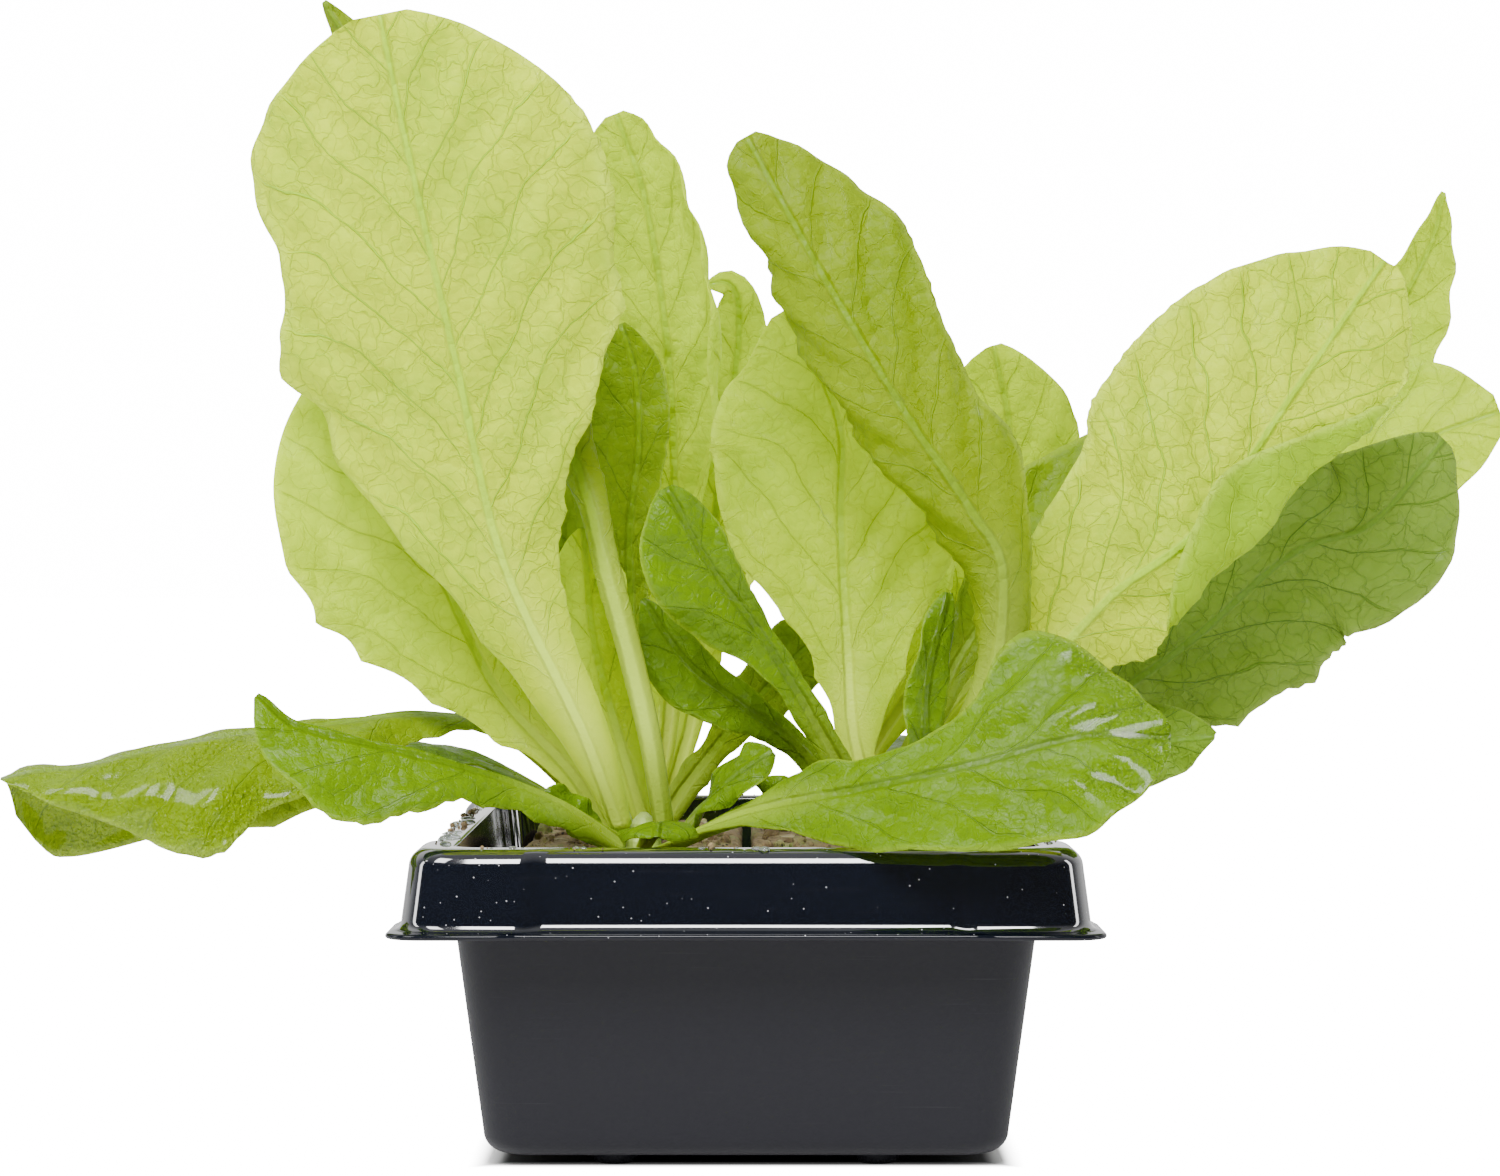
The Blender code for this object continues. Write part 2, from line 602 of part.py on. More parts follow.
def plant_c():
    """Middle left plant: the drooping leaf that reaches far out over the rim, and inner leaves."""
    return [
        Leaf("c_mid", "c", 60, 51.8,
             [(-18, -8, 69), (-19, -12, 95), (-17.5, -12, 110), (-18, -12, 122), (-20.5, -12, 130.5)],
             (-0.2, -1, 0.1), [1.8, 2, 3.5, 7, 12, 15, 16, 14, 9],
             right=[1.8, 1.8, 2, 2.4, 2.6, 3.2, 4.4, 5, 4], rows=16, seed=3),
        Leaf("c_far_left", "c", 238, 47.4,
             [(-33, -14, 60), (-42, -21, 66), (-53, -29, 67.5), (-68, -38, 66), (-85, -43, 64),
              (-103, -46, 60), (-110, -46, 59.3), (-115.2, -46, 58.3)],
             (0, -0.6, 0.8), [1.8, 2.5, 3, 4, 7.5, 13, 20, 10, 2],
             right=[1.8, 2.5, 6, 9, 19, 22, 21, 22, 21],
             curl=[0, 0, 0, -20, -40, -50, -50, -50, -40], power=1.2,
             curl_right=[0, -30, -60, -95, -125, -130, -130, -130, -125], power_right=0.5,
             lobe=1.8, round_from=0.955, rows=18, columns=6, seed=5),
        Leaf("c_right", "c", 335, 47.4, [(-9, -5, 56), (-1, -8, 66), (8, -11, 76), (15, -14, 82)],
             (-0.1, -1, 0.4), [1.8, 2.3, 2.3, 2.3, 3.4, 5, 6, 5.5, 4], lobe=1.0, rows=12,
             seed=6),
        Leaf("c_back_left", "c", 145, 48,
             [(-34, 12, 66), (-48, 24, 88), (-60, 34, 106), (-70, 42, 122)],
             (0.5, -0.6, 0.5), [1.8, 2.2, 4, 8, 13, 16, 16, 13, 8], curl=20, lobe=1.4, rows=14,
             seed=2),
        Leaf("c_heart", "c", 128, 51.4, [(-20, 7, 66), (-22, 9, 84), (-24, 11, 98)],
             (0.1, -1, 0.1), [1.5, 2, 3.5, 6, 8, 9, 9, 8, 5], curl=30, lobe=1.0, rows=12,
             seed=4, tone="leaf_bright"),
        Leaf("c_low_left", "c", 192, 47.4, [(-38, 1, 56), (-52, 3, 60.5), (-62, 4, 60), (-69, 5, 57)],
             (-0.2, 0, 1), [1.6, 2, 3, 5, 8, 10, 10.5, 9, 6], curl=-20, lobe=1.0, rows=12,
             seed=7, tone="leaf_deep"),
    ]


def plant_d():
    """Middle right plant: the grey-green leaf low on the right and leaves hidden by the front."""
    return [
        Leaf("d_grey", "d", 348, 48.4,
             [(38, -5, 58), (58, -10, 69), (72, -15, 79), (88, -18, 93), (101, -18, 98),
              (113, -16, 111.5)],
             (0.1, 1, 0.2), [1.8, 2.2, 3, 7, 13.5, 17, 16, 14, 9],
             right=[1.8, 2.2, 4, 7, 11, 14.5, 16, 12.5, 8], lobe=2.0, stalk=2.4, rows=18, seed=1,
             tone="leaf_grey"),
        Leaf("d_low", "d", 295, 47.6, [(40, -18, 55), (58, -32, 62), (73, -41, 64.5)],
             [(0, -0.2, 1), (0, -0.9, 0.4), (0, -0.9, 0.4)],
             [1.6, 1.8, 2.6, 4, 5.5, 6.5, 7, 6.6, 4.5], lobe=0.6, rows=12, seed=3,
             tone="leaf_grey"),
        Leaf("d_right", "d", 20, 50.8,
             [(30, 4, 64), (38, 8, 79), (50, 11, 92), (66, 14, 102), (84, 16, 110)],
             (-0.3, -0.9, 0.4), [1.8, 2.3, 2.8, 5, 10, 14, 15, 13, 8], curl=20, rows=14,
             seed=5),
        Leaf("d_heart", "d", 96, 50.8, [(20, 6, 70), (22, 8, 95), (22, 8, 120)],
             (0, -1, 0.05), [1.6, 2, 4, 8, 12, 14, 14, 12, 8], curl=25, rows=14, seed=7,
             tone="leaf_bright"),
        Leaf("d_low_right", "d", 38, 47.4, [(36, 5, 55), (50, 7, 59), (60, 8, 59), (67, 9, 56)],
             (0.2, 0, 1), [1.6, 2, 3, 5, 8, 10, 10, 8.5, 6], curl=-20, lobe=1.0, rows=12,
             seed=4, tone="leaf_deep"),
    ]


def plant_e():
    """Back left plant: the tall leaf with a rolled margin and leaves that lean over the back rim."""
    return [
        Leaf("e_tall", "e", 310, 50.8,
             [(-14, 28, 60), (-12.5, 22, 78), (-12, 10, 104), (-13, 2, 127), (-16.5, -3, 151),
              (-21.5, -4, 165.7)],
             (-0.3, -1, 0.2), [1.6, 1.8, 3, 6, 12, 18, 21, 18, 8],
             right=[1.6, 1.8, 2.2, 3.5, 8, 13.5, 14.5, 10.5, 7],
             curl=[0, 10, 20, 20, 20, 15, 10, 5, 0], power=2.2,
             curl_right=[0, 0, 20, 50, 90, 120, 120, 90, 40], power_right=2.2, round_from=0.85,
             rows=18, columns=6, seed=4, tone="leaf_bright"),
        Leaf("e_curl", "e", 5, 48.5,
             [(-9, 35, 68), (-5, 25, 102), (-2, 19, 123), (-1.3, 16, 134.5), (-3, 14, 138.8),
              (-6.4, 12.5, 138.5)],
             (0, -1, 0.2), [1.6, 2, 3, 5, 7, 8, 7, 5, 3.5], lobe=0.8, rows=14, seed=2,
             tone="leaf_bright"),
        Leaf("e_back_left", "e", 168, 48,
             [(-32, 54, 68), (-41, 68, 88), (-48, 80, 108), (-52, 88, 124)],
             (0.3, -0.7, 0.5), [1.8, 2.2, 4, 9, 15, 19, 20, 17, 10], curl=20, lobe=1.6,
             rows=14, seed=6),
        Leaf("e_low_back", "e", 121, 47.4, [(-24, 60, 56), (-27, 78, 61), (-28, 94, 58), (-28, 104, 51)],
             (0, 0.3, 1), [1.6, 2, 3, 6, 9, 12, 12.5, 11, 7], curl=-25, lobe=1.2, rows=14,
             seed=8, tone="leaf_deep"),
        Leaf("e_back", "e", 70, 47.4, [(-17, 60, 66), (-15, 82, 84), (-14, 100, 98), (-14, 112, 112)],
             (0, -0.6, 0.8), [1.8, 2.2, 3.5, 7, 12, 16, 17, 14, 8], curl=20, lobe=1.4, rows=14,
             seed=3, tone="leaf_bright"),
    ]


def plant_f():
    """Back right plant: the bright leaves that show past the front ones and those at the back."""
    return [
        Leaf("f_top", "f", 108, 51.8, [(30, 30, 72), (42, 25, 95), (45, 20, 112), (42, 16, 128.5)],
             (0.1, -1, 0.2), [1.8, 2.2, 4, 8, 12, 14, 15, 14, 9],
             right=[1.8, 2.2, 4, 8, 12, 13, 12.5, 11, 7], rows=14, seed=1, tone="leaf_bright"),
        Leaf("f_right", "f", 350, 47.4,
             [(42, 32, 68), (64, 26, 84), (94, 16, 102), (114, 12, 112), (127, 10, 117)],
             (-0.2, -1, 0.4), [1.8, 2.2, 3, 5, 9, 12, 16.5, 19, 14],
             right=[1.8, 2.2, 3, 5, 9, 12, 13.5, 13.5, 10], lobe=1.0, rows=16, seed=5,
             tone="leaf_bright"),
        Leaf("f_curl", "f", 30, 50,
             [(56, 44, 88), (88, 36, 112), (108, 26, 130), (116, 18, 144), (118.3, 14, 154.3)],
             (-0.5, -1, 0.3), [1.8, 2.2, 3, 5, 7, 8, 8, 5.5, 4],
             right=[1.8, 2.2, 3, 5, 8, 11, 15, 10.5, 3], curl=60, curl_right=20, lobe=0.8,
             rows=16, seed=3, tone="leaf_bright"),
        Leaf("f_back", "f", 144, 48, [(23, 56, 68), (29, 74, 90), (34, 88, 108), (37, 98, 126)],
             (-0.1, -0.7, 0.5), [1.8, 2.2, 4, 9, 15, 18, 18, 15, 9], curl=20, lobe=1.6,
             rows=14, seed=7),
        Leaf("f_back_right", "f", 48, 47.4,
             [(40, 58, 62), (58, 66, 78), (76, 72, 92), (90, 76, 106)],
             (-0.5, -0.6, 0.7), [1.8, 2.2, 4, 8, 13, 16, 16, 13, 8], curl=20, lobe=1.4, rows=14,
             seed=2),
        Leaf("f_low_back", "f", 97, 47.5, [(22, 60, 55), (28, 77, 59), (34, 93, 57), (37, 104, 51)],
             (0.1, 0.3, 1), [1.6, 2, 3, 6, 10, 12.5, 13, 11, 7], curl=-25, lobe=1.2, rows=14,
             seed=6, tone="leaf_deep"),
    ]


def clear_scene():
    """Remove whatever objects the open file holds."""
    for found in list(bpy.data.objects):
        bpy.data.objects.remove(found, do_unlink=True)


def main():
    """Build the tray, the blocks, the stems and the leaves."""
    clear_scene()
    make_tray()
    index = 0
    for row, pair in ((-1, "ab"), (0, "cd"), (1, "ef")):
        for column, plant in zip((-1, 1), pair):
            index += 1
            make_block(index, column, row, plant)
            make_crown(plant)
    for leaf in leaves():
        make_leaf(leaf)


if __name__ == "__main__":
    main()
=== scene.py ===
"""Looks of six young lettuce plants in a black growing tray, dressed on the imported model.

The leaf table and the profiles are in millimetres; meshes are scaled to metres as they are made.
"""
import logging
import math
import random
from dataclasses import dataclass, field
from enum import Enum
from typing import Sequence, Union

import bmesh
import bpy
import numpy as np
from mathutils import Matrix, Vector, noise


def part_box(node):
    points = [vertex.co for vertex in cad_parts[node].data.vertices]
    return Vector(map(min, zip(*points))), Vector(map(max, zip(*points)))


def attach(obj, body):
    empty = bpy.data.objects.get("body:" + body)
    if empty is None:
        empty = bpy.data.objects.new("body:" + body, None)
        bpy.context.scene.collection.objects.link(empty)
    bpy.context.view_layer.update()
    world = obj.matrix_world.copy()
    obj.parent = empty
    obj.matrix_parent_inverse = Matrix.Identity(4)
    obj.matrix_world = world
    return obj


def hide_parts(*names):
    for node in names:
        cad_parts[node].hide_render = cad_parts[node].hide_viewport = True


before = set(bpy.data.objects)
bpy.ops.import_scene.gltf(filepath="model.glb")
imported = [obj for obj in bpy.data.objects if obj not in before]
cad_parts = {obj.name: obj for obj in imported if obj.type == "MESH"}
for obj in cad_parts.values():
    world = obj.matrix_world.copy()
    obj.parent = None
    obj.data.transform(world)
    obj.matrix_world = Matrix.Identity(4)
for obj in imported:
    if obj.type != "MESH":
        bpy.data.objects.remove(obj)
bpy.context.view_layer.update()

MM = 0.001
BODY = "root"

Number = Union[float, "Wire"]
Colour = tuple[float, float, float]
Stations = Union[float, Sequence[float]]

log = logging.getLogger("lettuce")


class Slot(Enum):
    """Material slots of the record."""

    PLASTIC = "black_plastic"
    PEAT = "peat"
    STEM = "stem"
    PALE = "leaf_pale"
    BRIGHT = "leaf_bright"
    MID = "leaf_mid"
    DEEP = "leaf_deep"
    GREY = "leaf_grey"


class Field(Enum):
    """Numbers that a blade's mesh holds at its vertices, for its finish to read."""

    ACROSS = "across"
    ALONG = "along"
    ACROSS_MM = "across_mm"
    ALONG_MM = "along_mm"
    UNDERSIDE = "underside"
    WET = "wet"
    STRAND = "strand"


class Wire:
    """An output socket of a material, on which arithmetic adds Math nodes."""

    def __init__(self, graph: "Graph", socket: bpy.types.NodeSocket) -> None:
        """Wraps a socket of a graph.

        Args:
            graph: the graph that the socket is in.
            socket: the output socket.
        """
        self.graph = graph
        self.socket = socket

    def __add__(self, other: Number) -> "Wire":
        """Sum."""
        return self.graph.math("ADD", self, other)

    __radd__ = __add__

    def __sub__(self, other: Number) -> "Wire":
        """Difference."""
        return self.graph.math("SUBTRACT", self, other)

    def __rsub__(self, other: Number) -> "Wire":
        """Difference from a number."""
        return self.graph.math("SUBTRACT", other, self)

    def __mul__(self, other: Number) -> "Wire":
        """Product."""
        return self.graph.math("MULTIPLY", self, other)

    __rmul__ = __mul__

    def __truediv__(self, other: Number) -> "Wire":
        """Quotient."""
        return self.graph.math("DIVIDE", self, other)

    def __abs__(self) -> "Wire":
        """Size without its sign."""
        return self.graph.math("ABSOLUTE", self)

    def above(self, other: Number) -> "Wire":
        """1 where this is greater than other, else 0."""
        return self.graph.math("GREATER_THAN", self, other)

    def most(self, other: Number) -> "Wire":
        """The greater of the two."""
        return self.graph.math("MAXIMUM", self, other)

    def fraction(self) -> "Wire":
        """What is left past the whole number."""
        return self.graph.math("FRACT", self)

    def rise(self, low: Number, high: Number) -> "Wire":
        """Smooth step from 0 at low to 1 at high.

        Args:
            low: value where the step starts.
            high: value where the step is complete.

        Returns:
            The step, from 0 to 1.
        """
        return self.graph.node(
            "ShaderNodeMapRange",
            {"interpolation_type": "SMOOTHSTEP"},
            {"Value": self, "From Min": low, "From Max": high},
        )

    def fall(self, low: Number, high: Number) -> "Wire":
        """Smooth step from 1 at low to 0 at high."""
        return 1.0 - self.rise(low, high)


class Graph:
    """The node tree of one material or world."""

    def __init__(self, tree: bpy.types.NodeTree) -> None:
        """Empties the tree, ready to be filled.

        Args:
            tree: the tree to fill.
        """
        self.tree = tree
        self.material = None
        tree.nodes.clear()

    @classmethod
    def for_material(cls, name: str) -> "Graph":
        """Makes a material.

        Args:
            name: the material's name.

        Returns:
            The material's graph, still empty.
        """
        made = bpy.data.materials.new(name)
        made.use_nodes = True
        graph = cls(made.node_tree)
        graph.material = made
        return graph

    def node(self, kind: str, settings: dict = None, inputs: dict = None,
             output: Union[int, str] = 0) -> Wire:
        """Adds any node.

        Args:
            kind: the node's type.
            settings: attributes that are set first.
            inputs: values or wires for its sockets, by name or number.
            output: the socket that the returned wire reads.

        Returns:
            A wire on the chosen output.
        """
        made = self.tree.nodes.new(kind)
        for name, value in (settings or {}).items():
            setattr(made, name, value)
        for name, value in (inputs or {}).items():
            socket = made.inputs[name]
            if isinstance(value, Wire):
                self.tree.links.new(value.socket, socket)
            elif isinstance(value, tuple) and socket.type == "RGBA":
                socket.default_value = (*value[:3], 1.0)
            else:
                socket.default_value = value
        return Wire(self, made.outputs[output] if made.outputs else None)

    def math(self, operation: str, *values: Number) -> Wire:
        """Adds a Math node on values."""
        return self.node("ShaderNodeMath", {"operation": operation}, dict(enumerate(values)))

    def mix(self, share: Number, first: Union[Colour, Wire], second: Union[Colour, Wire]) -> Wire:
        """Colour that goes from first to second as share goes from 0 to 1."""
        return self.node(
            "ShaderNodeMix", {"data_type": "RGBA"}, {0: share, 6: first, 7: second}, output=2)

    def vector(self, operation: str, *values: Union[tuple, Wire]) -> Wire:
        """Adds a Vector Math node on vectors."""
        return self.node("ShaderNodeVectorMath", {"operation": operation}, dict(enumerate(values)))

    def parts(self, vector: Wire) -> tuple[Wire, Wire, Wire]:
        """The three numbers of a vector."""
        split = self.node("ShaderNodeSeparateXYZ", {}, {0: vector}).socket.node
        return tuple(Wire(self, output) for output in split.outputs)

    def joined(self, x: Number, y: Number, z: Number) -> Wire:
        """Vector of three numbers."""
        return self.node("ShaderNodeCombineXYZ", {}, {0: x, 1: y, 2: z})

    def noise(self, place: Wire, scale: float, detail: float = 2.0, flat: bool = False) -> Wire:
        """Soft noise around zero, from about -0.5 to 0.5.

        Args:
            place: where it is read.
            scale: its waves per unit of place.
            detail: how many finer layers it has.
            flat: True where only the first two numbers of place count.

        Returns:
            The noise.
        """
        kind = {"noise_dimensions": "2D" if flat else "3D"}
        grain = self.node(
            "ShaderNodeTexNoise", kind, {"Vector": place, "Scale": scale, "Detail": detail})
        return grain - 0.5

    def cells(self, place: Wire, scale: float, feature: str, flat: bool = False) -> Wire:
        """Distance within Voronoi cells of about 1/scale across.

        Args:
            place: where it is read.
            scale: cells per unit of place.
            feature: which distance the cells give.
            flat: True where only the first two numbers of place count.

        Returns:
            The distance, in cells.
        """
        kind = {"feature": feature, "voronoi_dimensions": "2D" if flat else "3D"}
        return self.node("ShaderNodeTexVoronoi", kind, {"Vector": place, "Scale": scale})

    def other(self, wire: Wire, output: str) -> Wire:
        """Another output of the node that a wire comes from."""
        return Wire(self, wire.socket.node.outputs[output])

    def field(self, name: Field) -> Wire:
        """A number that the mesh holds at its vertices."""
        return self.node("ShaderNodeAttribute", {"attribute_name": name.value}, {}, output="Fac")

    def place_mm(self) -> Wire:
        """Object coordinates in millimetres."""
        texture = self.node("ShaderNodeTexCoord", {}, {}, output="Object")
        return self.node(
            "ShaderNodeVectorMath", {"operation": "SCALE"}, {0: texture, "Scale": 1 / MM})

    def bump(self, height: Wire, strength: float) -> Wire:
        """Normal that a height in millimetres gives."""
        return self.node(
            "ShaderNodeBump", {}, {"Strength": strength, "Distance": MM, "Height": height})

    def principled(self, inputs: dict) -> Wire:
        """Adds a Principled shader with these values and wires on its sockets."""
        return self.node("ShaderNodeBsdfPrincipled", {}, inputs, output="BSDF")

    def finish(self, shader: Wire) -> bpy.types.Material:
        """Joins the last shader to the output and returns the material."""
        self.node("ShaderNodeOutputMaterial", {}, {"Surface": shader})
        return self.material


def dressed(piece: bpy.types.Object, slot: Slot, *nodes: str) -> bpy.types.Object:
    """Puts a finished piece on the model's body.

    Args:
        piece: the finished object.
        slot: the record's slot that its finish belongs to; not used.
        nodes: the CAD nodes that it stands for.

    Returns:
        The same piece.
    """
    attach(piece, BODY)
    if nodes:
        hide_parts(*nodes)
    log.info("%s: %d faces", piece.name, len(piece.data.polygons))
    return piece


def new_piece(name: str, shape: bmesh.types.BMesh, finish: bpy.types.Material,
              sharp: float = 50.0) -> bpy.types.Object:
    """Turns a bmesh in millimetres into an object in metres.

    Args:
        name: the object's name.
        shape: the bmesh, which is freed.
        finish: the material.
        sharp: angle in degrees past which an edge isn't shaded smooth.

    Returns:
        The linked object.
    """
    bmesh.ops.scale(shape, vec=(MM, MM, MM), verts=shape.verts)
    mesh = bpy.data.meshes.new(name)
    shape.to_mesh(mesh)
    shape.free()
    mesh.materials.append(finish)
    mesh.shade_smooth()
    mesh.set_sharp_from_angle(angle=math.radians(sharp))
    piece = bpy.data.objects.new(name, mesh)
    bpy.context.scene.collection.objects.link(piece)
    return piece


def ramp(low: float, high: float, x: np.ndarray) -> np.ndarray:
    """0 below low, 1 above high, straight between."""
    return np.clip((x - low) / (high - low), 0.0, 1.0)


def smooth_step(low: float, high: float, x: np.ndarray) -> np.ndarray:
    """0 below low, 1 above high, smooth between."""
    t = ramp(low, high, x)
    return t * t * (3 - 2 * t)


def run_through(values: Stations, v: np.ndarray) -> np.ndarray:
    """Reads a smooth run through evenly spaced values.

    Args:
        values: one number, or numbers or vectors from root to tip.
        v: shares of the way from root to tip.

    Returns:
        The value at each share.
    """
    knots = np.asarray(values, float)
    if knots.ndim == 0:
        return np.full(v.shape, float(knots))
    last = len(knots) - 1
    knots = np.concatenate([[2 * knots[0] - knots[1]], knots, [2 * knots[-1] - knots[-2]]])
    x = np.clip(v, 0.0, 1.0) * last
    i = np.minimum(x.astype(int), last - 1)
    t = (x - i).reshape(v.shape + (1,) * (knots.ndim - 1))
    before, start, end, after = (knots[i + k] for k in range(4))
    slope = (end - before) * t
    bend = (2 * before - 5 * start + 4 * end - after) * t ** 2
    twist = (3 * start - before - 3 * end + after) * t ** 3
    return (2 * start + slope + bend + twist) / 2


def unit(vectors: np.ndarray) -> np.ndarray:
    """Vectors made one long."""
    return vectors / np.linalg.norm(vectors, axis=-1, keepdims=True)


@dataclass(frozen=True)
class LeafFinish:
    """Finish of a lettuce blade: its two faces, its veins and the light that comes through."""

    slot: Slot
    upper: Colour
    under: Colour
    vein: Colour
    stalk: Colour
    glow: Colour
    passes: float
    roughness: float
    shine: float
    folds: float
    net: float
    coat: float = 0.04

    # Waves or cells per millimetre of each layer
    CLOUDS = 0.05
    MOTTLES = 0.5
    QUILTS = 0.24
    PEBBLES = 0.62
    FOLDS = 0.11
    GRAINS = 2.2
    RIPPLES = 1.3
    NET_CELLS = 0.19
    FINE_CELLS = 0.4
    # Millimetres from leaf to leaf in the patterns, and from one side vein to the next
    STRAND_STEP = 400.0
    LANE = 12.0
    # How side veins lean to the tip and bend
    LANE_SLOPE = 1.75
    LANE_BEND = 0.024

    def material(self) -> bpy.types.Material:
        """Builds the blade's material on the fields of its mesh.

        Returns:
            The material.
        """
        graph = Graph.for_material(f"{self.slot.value}_blade")
        u, v, across, along, under, wet, strand = map(graph.field, Field)
        place = graph.joined(across + strand * self.STRAND_STEP, along, 0.0)
        veins = self._veins(graph, place, across, along, u, v, strand)
        tone_and_shade_cloud = graph.noise(place, self.CLOUDS, 2.0, flat=True)
        mottle = graph.noise(place, self.MOTTLES, 4.0, flat=True)
        # Pale rim along the margin: a painted highlight on the leaf's edge
        edge = abs(u).rise(0.9, 1.0)
        pale = v.fall(0.06, 0.5) * abs(across).fall(0.6, 5.0)
        colour = graph.mix(under, self.upper, self.under)
        # Broad cloud mixed towards the vein colour: partly the leaf's own uneven tone, partly
        # painted shade for the darker zones where other leaves lie behind
        colour = graph.mix((tone_and_shade_cloud * 1.5 + mottle * 0.7 + 0.14).most(0.0), colour, self.vein)
        colour = graph.mix(veins * 0.9, colour, self.vein)
        colour = graph.mix(pale * 0.7, colour, self.stalk)
        # Painted highlight: the margin is mixed towards the stalk colour
        colour = graph.mix(edge * 0.35, colour, self.stalk)
        quilt = graph.cells(place, self.QUILTS, "F1", flat=True)
        grain = graph.noise(place, self.GRAINS, 1.0, flat=True)
        pebble = graph.cells(place, self.PEBBLES, "F1", flat=True)
        folds = graph.noise(place, self.FOLDS, 2.0, flat=True)
        beads = graph.noise(place, self.RIPPLES, 1.0, flat=True)
        blade = v.rise(0.15, 0.45)
        swells = folds * self.folds - quilt * quilt * 0.5 - pebble * pebble * 0.3
        raised = veins * (under * 0.9 - 0.45)
        relief = raised + swells * blade + grain * 0.09 + wet * beads * 0.9
        normal = graph.bump(relief, 0.9)
        gloss = self.roughness + mottle * 0.2 - wet * 0.3
        surface = graph.principled({
            "Base Color": colour,
            "Roughness": gloss.most(0.06),
            "Coat Weight": wet * 0.35 + self.coat,
            "Coat Roughness": 0.1,
            "Specular IOR Level": self.shine,
            "Normal": normal,
        })
        through = graph.node(
            "ShaderNodeBsdfTranslucent", {}, {"Color": self.glow, "Normal": normal}, output="BSDF")
        # The broad cloud also lets less light through: painted shade of the leaves behind
        passing = (self.passes - veins * 0.4 - tone_and_shade_cloud * 0.2 - pale * 0.12).most(0.05)
        mixed = graph.node(
            "ShaderNodeMixShader", {}, {0: passing, 1: surface, 2: through}, output="Shader")
        return graph.finish(mixed)

    def _veins(self, graph: Graph, place: Wire, across: Wire, along: Wire, u: Wire, v: Wire,
               strand: Wire) -> Wire:
        """Midrib, side veins that lean to the tip, and the net between them.

        Args:
            graph: the graph that the nodes go in.
            place: place on the flattened blade, in millimetres.
            across: distance from the midrib, in millimetres, below zero on the right.
            along: distance from the root, in millimetres.
            u: across the blade, -1 to 1.
            v: along the blade, 0 to 1.
            strand: a number of the leaf's own, which sets its pattern apart.

        Returns:
            How much of a vein there is, from 0 to 1.
        """
        wander = graph.noise(place, 0.06, 1.0, flat=True)
        shake = graph.noise(place, 0.25, 2.0, flat=True)
        reach = abs(across)
        midrib = (reach + shake * 0.3 + v * 0.4).fall(0.55, 1.2)
        side = across.above(0.0) * 0.45
        bent = along - reach * self.LANE_SLOPE + reach * reach * self.LANE_BEND
        slant = bent - wander * 9.0 - shake * 1.5
        lane = (slant / self.LANE + side + strand).fraction()
        apart = abs(lane - 0.5) * self.LANE
        branch = apart.fall(0.1, 0.34) * abs(u).fall(0.8, 1.05)
        shifted = bent_place(graph, place)
        edge = "DISTANCE_TO_EDGE"
        net = graph.cells(shifted, self.NET_CELLS, edge, flat=True).fall(0.004, 0.03)
        fine = graph.cells(shifted, self.FINE_CELLS, edge, flat=True).fall(0.01, 0.08)
        mesh = (net * 0.5).most(fine * 0.25) * self.net
        lines = (branch * (0.45 + self.net * 0.5)).most(mesh) * v.rise(0.1, 0.35)
        return midrib.most(lines)


def bent_place(graph: Graph, place: Wire) -> Wire:
    """Moves a place by a small soft vector, so that a pattern read there bends.

    Args:
        graph: the graph that the nodes go in.
        place: the place, in millimetres.

    Returns:
        The place, moved by 1.5 mm at most.
    """
    bend = graph.node(
        "ShaderNodeTexNoise", {"noise_dimensions": "2D"},
        {"Vector": place, "Scale": 0.3, "Detail": 2.0}, output="Color")
    shift = graph.vector("SUBTRACT", bend, (0.5, 0.5, 0.5))
    return graph.vector("ADD", place, graph.vector("MULTIPLY", shift, (3.0, 3.0, 0.0)))


# Thickness of a blade, and reach and fading of the stalk under it, in millimetres
BLADE = 0.7
STALK_REACH = 3.0
RIB_FADE = 0.85
REACH_FADE = 0.6
CREASE = 0.12
# Leaves that start higher on the stem start nearer to its middle
ROOT_HEIGHT_SPLIT = 49.5
LOW_ROOT_RING = 4.8
HIGH_ROOT_RING = 3.9
PLANTS: dict[str, tuple[float, float]] = {
    "a": (-16, -38),
    "b": (23, -38),
    "c": (-19, 0),
    "d": (19, 0),
    "e": (-19, 37),
    "f": (19, 37),
}


class Midrib:
    """Smooth curve through a leaf's own points, read by its share of length."""

    SAMPLES = 96
    REACH = 0.02

    def __init__(self, points: Sequence[Sequence[float]]) -> None:
        """Samples the curve.

        Args:
            points: the leaf's root and the points after it, in millimetres.
        """
        self.places = run_through(points, np.linspace(0, 1, self.SAMPLES + 1))
        steps = np.linalg.norm(np.diff(self.places, axis=0), axis=1)
        self.run = np.concatenate([[0.0], np.cumsum(steps)])
        self.length = self.run[-1]

    def at(self, v: np.ndarray) -> np.ndarray:
        """Places at shares v of the length."""
        want = np.clip(v, 0.0, 1.0) * self.length
        return np.stack([np.interp(want, self.run, axis) for axis in self.places.T], axis=-1)

    def direction(self, v: np.ndarray) -> np.ndarray:
        """Unit vectors along the curve at shares v."""
        return unit(self.at(v + self.REACH) - self.at(v - self.REACH))


